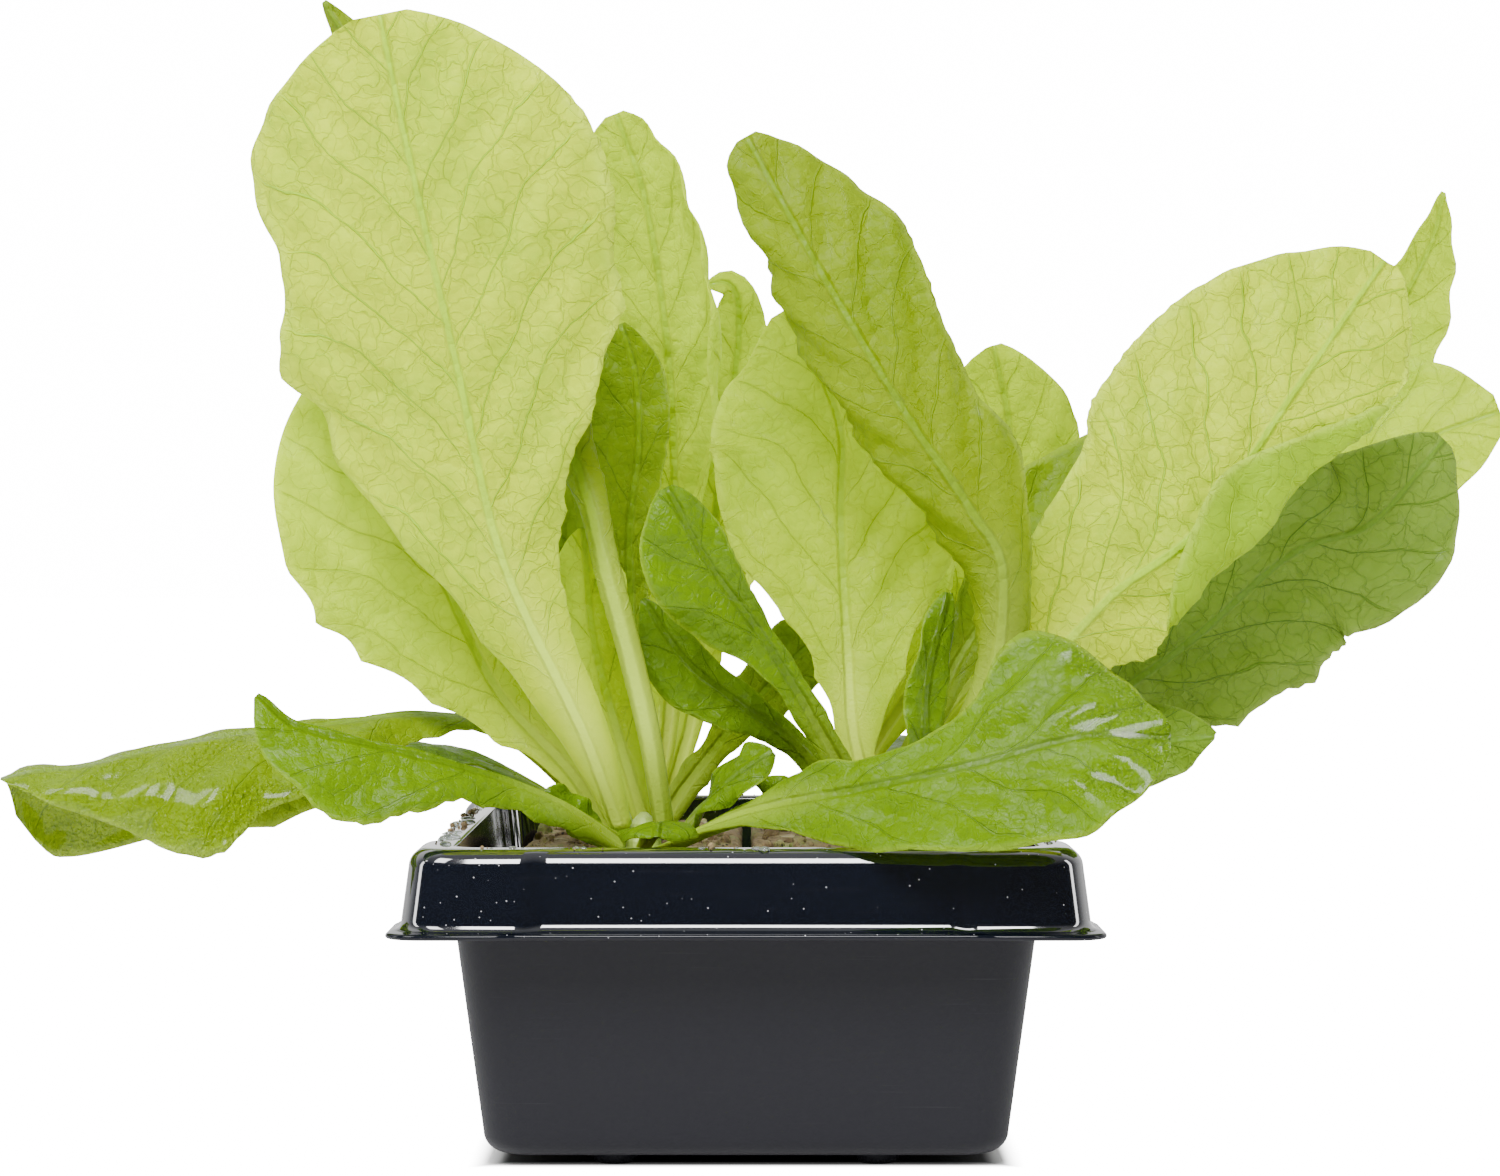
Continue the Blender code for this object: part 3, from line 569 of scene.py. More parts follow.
@dataclass
class Leaf:
    """One leaf: its midrib, the way its upper face looks, its two half widths and how it curls.

    The name starts with its plant's letter. Turn, in degrees, is where it stands round the stem.
    Left is the side at (face x direction of the midrib). Half widths, curls (degrees at the
    margin, towards the upper face), curl powers and folds run from root to tip. A fold is the
    share of the half width at which the margin is creased over, and 0 is no crease.
    """

    name: str
    turn: float
    height: float
    path: list
    face: Union[tuple, list]
    left: list
    right: list = None
    curl: Stations = 0.0
    curl_right: Stations = None
    power: Stations = 1.6
    power_right: Stations = None
    fold: Stations = 0.0
    lobe: float = 1.2
    wave: float = 0.8
    round_from: float = 0.8
    stalk: float = 2.2
    teeth: int = 8
    seed: int = 1
    tone: Slot = Slot.MID
    blunt: bool = False
    wet_from: float = 2.0
    midrib: Midrib = field(init=False)

    # Size of the grid's cells, steps of the curl, least and most rows and columns
    STEP = 1.25
    STEPS = 16
    ROWS = (44, 120)
    HALF_COLUMNS = (7, 20)
    # Shares of the length over which teeth grow and fade, and their unevenness
    TEETH_IN = (0.1, 0.25)
    TEETH_OUT = (0.57, 0.82)
    FINE_TEETH_IN = (0.12, 0.27)
    FINE_TEETH_OUT = (0.81, 0.93)
    FULL_TEETH_WIDTH = 4.0
    TOOTH_MEAN = 0.6
    TOOTH_SPREAD = 0.4
    TOOTH_JUMP = 12.99
    SEED_JUMP = 78.23
    TOOTH_PITCH = 3.1
    TOOTH = 0.5
    TOOTH_CREST = 0.7
    # How the tip is rounded, and the least half width
    TIP_END = 1.004
    TIP_POWER = 2.3
    THINNEST = 0.35
    # Waves of the margin
    WAVES = 3.0
    RIPPLE_IN = (0.2, 0.5)
    RIPPLE_SEED_PHASE = 1.7
    RIPPLE_SIDE_PHASE = 2.1
    # Swellings: their lanes, where they start, and the heights of the three that are summed
    SWELL_LANE = 15.0
    SWELL_SLANT = 1.6
    SWELL_IN = (0.25, 0.5)
    SWELL_OUT = 4.0
    LANE_SWELL = 0.55
    CROSS_SWELL = 0.28
    SMALL_SWELL = 0.1
    # How the blade thins to its sides and tip, and the channel along the midrib
    SIDE_POWER = 10
    SIDE_LEFT = 0.2
    TIP_ROUND_POWER = 60
    TIP_LEFT = 0.3
    GROOVE = 0.3
    GROOVE_WIDTH = 1.3
    GROOVE_NARROWS = 0.7
    SPLASH = 0.06

    def __post_init__(self) -> None:
        """Fills in the right side and finds the midrib."""
        self.right = self.right or self.left
        self.curl_right = self.curl if self.curl_right is None else self.curl_right
        self.power_right = self.power if self.power_right is None else self.power_right
        ring = LOW_ROOT_RING if self.height < ROOT_HEIGHT_SPLIT else HIGH_ROOT_RING
        x, y = PLANTS[self.name[0]]
        angle = math.radians(self.turn)
        root = (x + ring * math.cos(angle), y + ring * math.sin(angle), self.height)
        self.midrib = Midrib([root] + self.path)
        self.faces = self.face if isinstance(self.face, list) else [self.face, self.face]

    def lobes(self, v: np.ndarray, side: np.ndarray) -> np.ndarray:
        """How far the coarse teeth stand out of the margin.

        Args:
            v: along the blade, 0 to 1.
            side: 1 on the left, -1 on the right.

        Returns:
            The distances, in millimetres.
        """
        number = np.floor(v * self.teeth)
        phase = v * self.teeth - number
        rounded = np.abs(np.sin(np.pi * phase))
        shape = rounded if self.blunt else 1 - np.abs(np.sin(np.pi * (phase - 0.5)))
        jump = self.TOOTH_JUMP * (number + 1) + self.SEED_JUMP * (self.seed + side)
        uneven = self.TOOTH_MEAN + self.TOOTH_SPREAD * np.sin(jump)
        fade = ramp(*self.TEETH_IN, v) * (1 - ramp(*self.TEETH_OUT, v))
        return self.lobe * shape * uneven * fade

    def fine_teeth(self, v: np.ndarray, side: np.ndarray) -> np.ndarray:
        """How far the small uneven teeth that ride on the coarse ones stand out.

        Args:
            v: along the blade, 0 to 1.
            side: 1 on the left, -1 on the right.

        Returns:
            The distances, in millimetres.
        """
        # The sines only make neighbouring teeth unlike each other
        run = v * self.midrib.length / self.TOOTH_PITCH
        run = run + 0.35 * np.sin(1.7 * run + self.seed + side)
        number = np.floor(run)
        phase = run - number
        size = 0.5 + 0.5 * np.sin(37.7 * number + 5.1 * self.seed + 2.3 * side)
        crest = self.TOOTH_CREST
        shape = np.where(phase < crest, phase / crest, (1 - phase) / (1 - crest))
        fade_out = np.maximum(1 - ramp(*self.FINE_TEETH_OUT, v), 0.15)
        fade = ramp(*self.FINE_TEETH_IN, v) * fade_out
        return self.TOOTH * min(self.lobe, 1.4) * shape * size * fade

    def half_width(self, v: np.ndarray, side: np.ndarray) -> np.ndarray:
        """Half width on one side, teeth included.

        Args:
            v: along the blade, 0 to 1.
            side: 1 on the left, -1 on the right.

        Returns:
            The half widths, in millimetres.
        """
        width = np.where(side > 0, run_through(self.left, v), run_through(self.right, v))
        share = ramp(self.round_from, self.TIP_END, v)
        tip = np.maximum(0.0, 1 - share ** self.TIP_POWER) ** 0.5
        width = np.maximum(width * tip, self.THINNEST)
        teeth = self.lobes(v, side) + self.fine_teeth(v, side)
        return width + teeth * np.minimum(width / self.FULL_TEETH_WIDTH, 1.0)

    def section(self, u: np.ndarray, v: np.ndarray) -> tuple[np.ndarray, np.ndarray, np.ndarray]:
        """Places the middle of the blade.

        Args:
            u: across the blade, -1 to 1.
            v: along the blade, 0 to 1.

        Returns:
            The places, the unit normals of the upper face and the distances from the midrib.
        """
        along = self.midrib.direction(v)
        sideways = unit(np.cross(run_through(self.faces, v), along))
        up = unit(np.cross(along, sideways))
        side = np.where(u >= 0, 1.0, -1.0)
        size = np.abs(u)
        width = self.half_width(v, side)
        out = np.zeros_like(u)
        lift = np.zeros_like(u)
        for k in range(self.STEPS):
            angle = self._turned(size * (k + 0.5) / self.STEPS, v, side)
            out += np.cos(angle)
            lift += np.sin(angle)
        step = size * width / self.STEPS
        phase = 2 * np.pi * self.WAVES * v + self.RIPPLE_SEED_PHASE * self.seed
        phase += np.where(side > 0, 0.0, self.RIPPLE_SIDE_PHASE)
        ripple = self.wave * ramp(*self.RIPPLE_IN, v) * size ** 2 * np.sin(phase)
        pucker = self._pucker(u, v, size * width)
        angle = self._turned(size, v, side)
        normal = unit(up * np.cos(angle)[:, None] - sideways * (side * np.sin(angle))[:, None])
        place = (self.midrib.at(v) + sideways * (side * out * step)[:, None]
                 + up * (lift * step + ripple)[:, None] + normal * pucker[:, None])
        return place, normal, size * width

    def _turned(self, size: np.ndarray, v: np.ndarray, side: np.ndarray) -> np.ndarray:
        """How far the blade has turned up from the midrib.

        Args:
            size: share of the half width.
            v: along the blade, 0 to 1.
            side: 1 on the left, -1 on the right.

        Returns:
            The angles, in radians.
        """
        edge = np.radians(self._sided(self.curl, self.curl_right, v, side))
        power = self._sided(self.power, self.power_right, v, side)
        fold = self._sided(self.fold, 0.0, v, side)
        creased = smooth_step(fold - CREASE, fold + CREASE, size)
        return edge * np.where(fold > 0, creased, size ** power)

    @staticmethod
    def _sided(left: Stations, right: Stations, v: np.ndarray, side: np.ndarray) -> np.ndarray:
        """Left or right run, whichever side each point is on."""
        return np.where(side > 0, run_through(left, v), run_through(right, v))

    def _pucker(self, u: np.ndarray, v: np.ndarray, distance: np.ndarray) -> np.ndarray:
        """Low swellings between the side veins.

        Args:
            u: across the blade, -1 to 1.
            v: along the blade, 0 to 1.
            distance: distance from the midrib, in millimetres.

        Returns:
            Their heights over the blade, in millimetres.
        """
        run = v * self.midrib.length
        slant = run - distance * self.SWELL_SLANT + 4.0 * np.sin(0.11 * distance + self.seed)
        lane = np.sin(2 * np.pi * slant / self.SWELL_LANE + 1.5 * np.sign(u) + self.seed)
        cross = np.sin(0.55 * distance + 0.13 * run + 2.0 * self.seed)
        small = np.sin(0.9 * run + 0.5 * distance) * np.sin(0.8 * distance - 0.31 * run)
        swell = ramp(0.0, self.SWELL_OUT, distance) * ramp(*self.SWELL_IN, v)
        return swell * (self.LANE_SWELL * lane + self.CROSS_SWELL * cross
                        + self.SMALL_SWELL * small)

    def depth(self, v: np.ndarray, distance: np.ndarray) -> np.ndarray:
        """Thickness of the blade with the stalk and rib under it.

        Args:
            v: along the blade, 0 to 1.
            distance: distance from the midrib, in millimetres.

        Returns:
            The thicknesses, in millimetres.
        """
        rib = self.stalk * (1 - RIB_FADE * v)
        reach = STALK_REACH * (1 - REACH_FADE * v)
        return BLADE + np.maximum(0.0, rib - BLADE) * np.exp(-(distance / reach) ** 2)

    def build(self, finish: bpy.types.Material) -> bpy.types.Object:
        """Lays a fine grid on the blade, grows its lower face and gives it its maps.

        Args:
            finish: the blade's material.

        Returns:
            The finished piece.
        """
        widest = max(max(self.left), max(self.right))
        rows = int(np.clip(self.midrib.length / self.STEP, *self.ROWS))
        columns = 2 * int(np.clip(widest / self.STEP, *self.HALF_COLUMNS))
        shape = bmesh.new()
        for kind in Field:
            shape.verts.layers.float.new(kind.value)
        layers = {kind: shape.verts.layers.float[kind.value] for kind in Field}
        bmesh.ops.create_grid(shape, x_segments=columns, y_segments=rows, size=1.0)
        for vert in shape.verts:
            vert[layers[Field.ACROSS]] = vert.co.x
            vert[layers[Field.ALONG]] = (vert.co.y + 1) / 2
        upper = len(shape.verts)
        bmesh.ops.extrude_face_region(shape, geom=shape.faces[:], use_keep_orig=True)
        verts = list(shape.verts)
        under = np.arange(len(verts)) >= upper
        u = np.array([vert[layers[Field.ACROSS]] for vert in verts])
        v = np.array([vert[layers[Field.ALONG]] for vert in verts])
        place, normal, distance = self.section(u, v)
        rounding = np.maximum(1 - np.abs(u) ** self.SIDE_POWER, self.SIDE_LEFT)
        rounding *= np.maximum(1 - v ** self.TIP_ROUND_POWER, self.TIP_LEFT)
        top = BLADE / 2 * rounding - self._groove(v, distance)
        bottom = (self.depth(v, distance) - BLADE / 2) * rounding
        place = place + normal * np.where(under, -bottom, top)[:, None]
        for vert, where in zip(verts, place):
            vert.co = where
        splash = v + 0.05 * np.sin(9 * u)
        self._fill(verts, layers, {
            Field.ACROSS_MM: np.sign(u) * distance,
            Field.ALONG_MM: v * self.midrib.length,
            Field.UNDERSIDE: under.astype(float),
            Field.WET: smooth_step(self.wet_from, self.wet_from + self.SPLASH, splash),
            Field.STRAND: np.full(len(verts), 0.37 * self.seed + len(self.name) * 0.11),
        })
        bmesh.ops.recalc_face_normals(shape, faces=shape.faces)
        return new_piece(f"blade_{self.name}", shape, finish, sharp=180.0)

    @staticmethod
    def _fill(verts: list, layers: dict, values: dict[Field, np.ndarray]) -> None:
        """Writes numbers into the fields of the blade's vertices.

        Args:
            verts: the vertices.
            layers: the bmesh layer of each field.
            values: a number for every vertex, field by field.
        """
        for kind, numbers in values.items():
            layer = layers[kind]
            for vert, number in zip(verts, numbers):
                vert[layer] = number

    def _groove(self, v: np.ndarray, distance: np.ndarray) -> np.ndarray:
        """Depth of the channel along the upper side of the midrib."""
        reach = self.GROOVE_WIDTH - self.GROOVE_NARROWS * v
        return self.GROOVE * (1 - REACH_FADE * v) * np.exp(-(distance / reach) ** 2)


def plant_a() -> list[Leaf]:
    """Front left plant: the tall pale leaf and the low leaves that arch over the front rim."""
    return [
        Leaf("a_tall", 205, 50.6,
             [(-25, -46, 66), (-37, -50, 92), (-44, -54, 122), (-51, -60, 154), (-55, -63, 174)],
             (0.2, 1, 0.1),
             [1.8, 2.7, 3.5, 4, 4.8, 6.8, 9.5, 13, 17.5, 22, 26, 27, 29, 29.5, 28.5, 25.5, 21],
             right=[1.8, 3, 4.5, 6, 7.5, 9.5, 13, 18.5, 23, 25.3, 29.2, 26, 24.3, 28, 28.7, 26,
                    21],
             curl=[0, 20, 20, 20, 25, 25, 20, 15, 0], lobe=1.6, wave=1.2, round_from=0.74,
             stalk=2.4, teeth=9, seed=5, tone=Slot.PALE),
        Leaf("a_left", 160, 47.2,
             [(-27, -36, 58), (-39, -33, 71), (-48, -33, 89), (-57, -35, 106), (-64, -36, 123)],
             (0.1, -1, 0.2), [1.6, 2, 3.5, 8, 15.5, 19.5, 19.7, 16, 12],
             right=[1.6, 2, 4, 7, 10, 13, 15, 14, 10],
             curl=[0, 10, 10, 10, 10, 10, 5, 0, 0], lobe=2.0, wave=1.0, teeth=9, seed=3,
             tone=Slot.BRIGHT),
        Leaf("a_arch", 325, 51,
             [(-14.6, -46, 64), (-17.6, -46.5, 77), (-21, -46, 89), (-25, -42, 104),
              (-32, -37, 121), (-46, -32, 148), (-67, -30, 180.5)],
             (0.2, 1, 0.2), [1.6, 1.6, 1.8, 2.6, 5, 7.5, 9, 7, 3],
             curl=[0, 30, 60, 80, 80, 60, 50, 40, 20], stalk=2.4, teeth=9, seed=7),
        Leaf("a_inner", 90, 50.6, [(-20, -35, 64), (-24, -36, 80), (-25.5, -37, 97)],
             (0.1, -1, 0.1), [1.5, 2.2, 4, 5, 5.5, 6, 6, 5.5, 4], lobe=1.0, teeth=6, seed=2,
             tone=Slot.BRIGHT),
        Leaf("a_low_right", 305, 47.6,
             [(1, -57, 54), (18, -68.5, 58), (34, -75.5, 62), (49, -79, 66), (62, -80, 66)],
             [(0, -0.3, 1), (0, -0.85, 0.5), (0, -0.85, 0.5), (0, -0.85, 0.5)],
             [1.6, 1.7, 1.8, 2.1, 2.5, 4, 5, 5, 5, 6, 7.5, 10.5, 16.5, 19.2, 15, 11, 8],
             right=[1.6, 1.8, 3, 6.2, 10.4, 13.2, 14.8, 16, 13], teeth=9, seed=4, tone=Slot.DEEP,
             blunt=True, wet_from=0.84),
        Leaf("a_low_left", 235, 47.6,
             [(-28, -54, 55), (-40, -60, 60), (-55, -64, 64), (-67, -66, 67), (-73, -66, 72)],
             (0, -0.85, 0.5), [1.6, 3, 4, 3.8, 5.4, 10, 13.2, 9, 3.5],
             right=[1.6, 1.6, 2, 3, 6, 8, 8, 7, 4], curl=0,
             curl_right=[0, -60, -110, -140, -150, -150, -150, -140, -120], power_right=0.5,
             teeth=8, seed=6, tone=Slot.DEEP),
        Leaf("a_first", 268, 47.4, [(-14, -50, 51), (-13.5, -57, 52), (-13.5, -63, 50.4)],
             (0, -0.3, 1), [1.2, 1.4, 2, 4, 6, 6.3, 6.3, 6, 4],
             curl=[0, 0, -20, -40, -50, -50, -50, -50, -40], lobe=0, wave=0, stalk=1.4, teeth=4,
             seed=1, tone=Slot.DEEP),
        Leaf("a_small_left", 186, 47.0, [(-23.8, -41.8, 50), (-27, -43.5, 53), (-31, -44.5, 56.5)],
             (0, -0.8, 0.6), [1.2, 1.5, 2, 2.6, 3, 3, 3, 2.6, 2], lobe=0.4, stalk=1.4, teeth=4,
             seed=8, tone=Slot.DEEP),
        Leaf("a_small_right", 24, 47.2,
             [(-8, -41, 51.5), (-5.5, -48, 55.5), (-1, -53, 59.5), (4, -55, 63)],
             (0, -0.8, 0.6), [1.2, 1.5, 2, 2.4, 2.8, 3.6, 4.4, 4, 2.6], lobe=0.5, stalk=1.5,
             teeth=5, seed=9, tone=Slot.DEEP),
    ]


def plant_b() -> list[Leaf]:
    """Front right plant: a leaning leaf, a wide one with a rolled margin, and deep green ones."""
    return [
        Leaf("b_pale", 120, 50.8,
             [(17, -36, 64), (16, -33, 78), (15, -29, 98), (15, -26, 113), (10, -24, 126),
              (6, -23, 132)],
             (0, -1, 0.15), [2, 2.2, 3.5, 8, 16, 20, 21, 19, 12],
             right=[2, 2.5, 7, 11.5, 18, 20, 20, 18, 12],
             curl=[0, 10, 10, 15, 15, 15, 10, 5, 0], lobe=1.8, wave=0.9, stalk=2.4, teeth=9,
             seed=4, tone=Slot.BRIGHT),
        Leaf("b_leaning", 312, 51,
             [(37.2, -44, 71), (39.2, -50, 90), (34, -53, 100), (24.5, -54, 114), (12, -53, 135),
              (0, -50, 157)],
             (-0.1, 1, 0),
             [1.8, 2.1, 2.5, 3, 3.5, 4.2, 5, 9.5, 12, 11, 12, 12.5, 14, 15, 12, 9, 6],
             right=[1.8, 2.5, 3, 7, 8, 10.5, 10.5, 7.5, 7.5],
             curl=[0, 0, 0, 10, 10, 10, 10, 10, 0],
             curl_right=[0, 10, 50, 75, 85, 90, 85, 70, 40], power_right=1.2, lobe=1.4,
             round_from=0.88, stalk=2.4, teeth=9, seed=2),
        Leaf("b_wide", 2, 47.4,
             [(41, -41, 68), (56, -45, 86), (70, -46, 97), (85, -43, 118), (100, -37, 139)],
             (0.1, 1, 0.1),
             [1.8, 2, 2.2, 3, 4, 6, 9, 11, 13, 17.5, 19, 18, 16.5, 15.5, 14.5, 13, 11],
             right=[1.8, 2.2, 5, 13, 21, 25, 24, 19, 12],
             curl=-168,
             fold=[1.3, 1.3, 1.3, 1.3, 1.3, 1.3, 1.2, 0.95, 0.58, 0.45, 0.42, 0.52, 0.68, 0.84,
                   1, 1.2, 1.3],
             curl_right=[0, 0, 0, 10, 10, 10, 0, 0, 0], power_right=1.6, lobe=1.6, stalk=2.4,
             teeth=9, seed=6, tone=Slot.PALE),
        Leaf("b_front", 235, 49.2, [(14, -48, 61), (4, -54, 78), (-6, -58, 92), (-12, -60, 103)],
             (0, -1, 0.3), [1.6, 1.8, 2, 2.4, 3, 6.5, 9.5, 9.5, 6],
             right=[1.6, 1.8, 2, 2, 1.9, 2.2, 3.4, 4.8, 4], lobe=0.8, teeth=7, seed=3,
             tone=Slot.DEEP),
        Leaf("b_under", 195, 47.0,
             [(9, -41, 62), (-1, -44, 69.6), (-9.5, -45, 76.6), (-16, -44.5, 86)],
             (-0.2, -1, 0.5), [1.5, 1.7, 1.9, 2.2, 3.2, 5.4, 6.4, 5, 2.5],
             right=[1.5, 1.6, 1.8, 2, 2.6, 3.2, 3.6, 3.2, 2], lobe=0.6, teeth=6, seed=5,
             tone=Slot.DEEP),
        Leaf("b_crenate", 259, 47.4, [(26.8, -49.2, 60), (28, -48, 74), (31.2, -45, 87)],
             (0.5, -0.8, 0), [1.4, 1.6, 2.2, 3, 3.4, 3.4, 3.2, 3, 2], lobe=0.8, teeth=5,
             seed=7, tone=Slot.DEEP, blunt=True),
        Leaf("b_small", 225, 47.2, [(13, -45, 50.5), (7, -47, 54.5), (1, -48, 58.5)],
             [(0, -0.3, 1), (0, -0.7, 0.7)], [1.2, 1.4, 1.8, 2.4, 3, 3, 3, 2.6, 2], lobe=0.4,
             stalk=1.4, teeth=4, seed=2, tone=Slot.DEEP),
    ]


def plant_c() -> list[Leaf]:
    """Middle left plant: the drooping leaf that reaches far out over the rim, and inner leaves."""
    return [
        Leaf("c_mid", 60, 51.8,
             [(-18, -8, 69), (-19, -12, 95), (-17.5, -12, 110), (-18, -12, 122),
              (-20.5, -12, 130.5)],
             (-0.2, -1, 0.1), [1.8, 2, 3.5, 7, 12, 15, 16, 14, 9],
             right=[1.8, 1.8, 2, 2.4, 2.6, 3.2, 4.4, 5, 4], teeth=8, seed=3),
        Leaf("c_far_left", 238, 47.4,
             [(-33, -14, 60), (-42, -21, 66), (-53, -29, 67.5), (-68, -38, 66), (-85, -43, 64),
              (-103, -46, 60), (-110, -46, 59.3), (-115.2, -46, 58.3)],
             (0, -0.6, 0.8), [1.8, 2.5, 3, 4, 7.5, 13, 20, 10, 2],
             right=[1.8, 2.5, 6, 9, 19, 22, 21, 22, 21],
             curl=[0, 0, 0, -20, -40, -50, -50, -50, -40], power=1.2,
             curl_right=[0, -30, -60, -95, -125, -130, -130, -130, -125], power_right=0.5,
             lobe=1.8, round_from=0.955, teeth=9, seed=5, wet_from=0.62),
        Leaf("c_right", 335, 47.4, [(-9, -5, 56), (-1, -8, 66), (8, -11, 76), (15, -14, 82)],
             (-0.1, -1, 0.4), [1.8, 2.3, 2.3, 2.3, 3.4, 5, 6, 5.5, 4], lobe=1.0, teeth=6,
             seed=6),
        Leaf("c_back_left", 145, 48,
             [(-34, 12, 66), (-48, 24, 88), (-60, 34, 106), (-70, 42, 122)],
             (0.5, -0.6, 0.5), [1.8, 2.2, 4, 8, 13, 16, 16, 13, 8], curl=20, lobe=1.4, teeth=7,
             seed=2),
        Leaf("c_heart", 128, 51.4, [(-20, 7, 66), (-22, 9, 84), (-24, 11, 98)],
             (0.1, -1, 0.1), [1.5, 2, 3.5, 6, 8, 9, 9, 8, 5], curl=30, lobe=1.0, teeth=6,
             seed=4, tone=Slot.BRIGHT),
        Leaf("c_low_left", 192, 47.4, [(-38, 1, 56), (-52, 3, 60.5), (-62, 4, 60), (-69, 5, 57)],
             (-0.2, 0, 1), [1.6, 2, 3, 5, 8, 10, 10.5, 9, 6], curl=-20, lobe=1.0, teeth=6,
             seed=7, tone=Slot.DEEP),
    ]


def plant_d() -> list[Leaf]:
    """Middle right plant: the grey-green leaf low on the right and leaves hidden by the front."""
    return [
        Leaf("d_grey", 348, 48.4,
             [(38, -5, 58), (58, -10, 69), (72, -15, 79), (88, -18, 93), (101, -18, 98),
              (113, -16, 111.5)],
             (0.1, 1, 0.2), [1.8, 2.2, 3, 7, 13.5, 17, 16, 14, 9],
             right=[1.8, 2.2, 4, 7, 11, 14.5, 16, 12.5, 8], lobe=2.0, stalk=2.4, teeth=9, seed=1,
             tone=Slot.GREY),
        Leaf("d_low", 295, 47.6, [(40, -18, 55), (58, -32, 62), (73, -41, 64.5)],
             [(0, -0.2, 1), (0, -0.9, 0.4), (0, -0.9, 0.4)],
             [1.6, 1.8, 2.6, 4, 5.5, 6.5, 7, 6.6, 4.5], lobe=0.6, teeth=6, seed=3,
             tone=Slot.GREY),
        Leaf("d_right", 20, 50.8,
             [(30, 4, 64), (38, 8, 79), (50, 11, 92), (66, 14, 102), (84, 16, 110)],
             (-0.3, -0.9, 0.4), [1.8, 2.3, 2.8, 5, 10, 14, 15, 13, 8], curl=20, teeth=7,
             seed=5),
        Leaf("d_heart", 96, 50.8, [(20, 6, 70), (22, 8, 95), (22, 8, 120)],
             (0, -1, 0.05), [1.6, 2, 4, 8, 12, 14, 14, 12, 8], curl=25, teeth=7, seed=7,
             tone=Slot.BRIGHT),
        Leaf("d_low_right", 38, 47.4, [(36, 5, 55), (50, 7, 59), (60, 8, 59), (67, 9, 56)],
             (0.2, 0, 1), [1.6, 2, 3, 5, 8, 10, 10, 8.5, 6], curl=-20, lobe=1.0, teeth=6,
             seed=4, tone=Slot.DEEP),
    ]


def plant_e() -> list[Leaf]:
    """Back left plant: a tall leaf with a rolled margin, and leaves over the back rim."""
    return [
        Leaf("e_tall", 310, 50.8,
             [(-14, 28, 60), (-12.5, 22, 78), (-12, 10, 104), (-13, 2, 127), (-16.5, -3, 151),
              (-21.5, -4, 165.7)],
             (-0.3, -1, 0.2), [1.6, 1.8, 3, 6, 12, 18, 21, 18, 8],
             right=[1.6, 1.8, 2.2, 3.5, 8, 13.5, 14.5, 10.5, 7],
             curl=[0, 10, 20, 20, 20, 15, 10, 5, 0], power=2.2,
             curl_right=[0, 0, 20, 50, 90, 120, 120, 90, 40], power_right=2.2, round_from=0.85,
             teeth=9, seed=4, tone=Slot.BRIGHT),
        Leaf("e_curl", 5, 48.5,
             [(-9, 35, 68), (-5, 25, 102), (-2, 19, 123), (-1.3, 16, 134.5), (-3, 14, 138.8),
              (-6.4, 12.5, 138.5)],
             (0, -1, 0.2), [1.6, 2, 3, 5, 7, 8, 7, 5, 3.5], lobe=0.8, teeth=7, seed=2,
             tone=Slot.BRIGHT),
        Leaf("e_back_left", 168, 48,
             [(-32, 54, 68), (-41, 68, 88), (-48, 80, 108), (-52, 88, 124)],
             (0.3, -0.7, 0.5), [1.8, 2.2, 4, 9, 15, 19, 20, 17, 10], curl=20, lobe=1.6,
             teeth=7, seed=6),
        Leaf("e_low_back", 121, 47.4,
             [(-24, 60, 56), (-27, 78, 61), (-28, 94, 58), (-28, 104, 51)], (0, 0.3, 1),
             [1.6, 2, 3, 6, 9, 12, 12.5, 11, 7], curl=-25, lobe=1.2, teeth=7,
             seed=8, tone=Slot.DEEP),
        Leaf("e_back", 70, 47.4, [(-17, 60, 66), (-15, 82, 84), (-14, 100, 98), (-14, 112, 112)],
             (0, -0.6, 0.8), [1.8, 2.2, 3.5, 7, 12, 16, 17, 14, 8], curl=20, lobe=1.4, teeth=7,
             seed=3, tone=Slot.BRIGHT),
    ]


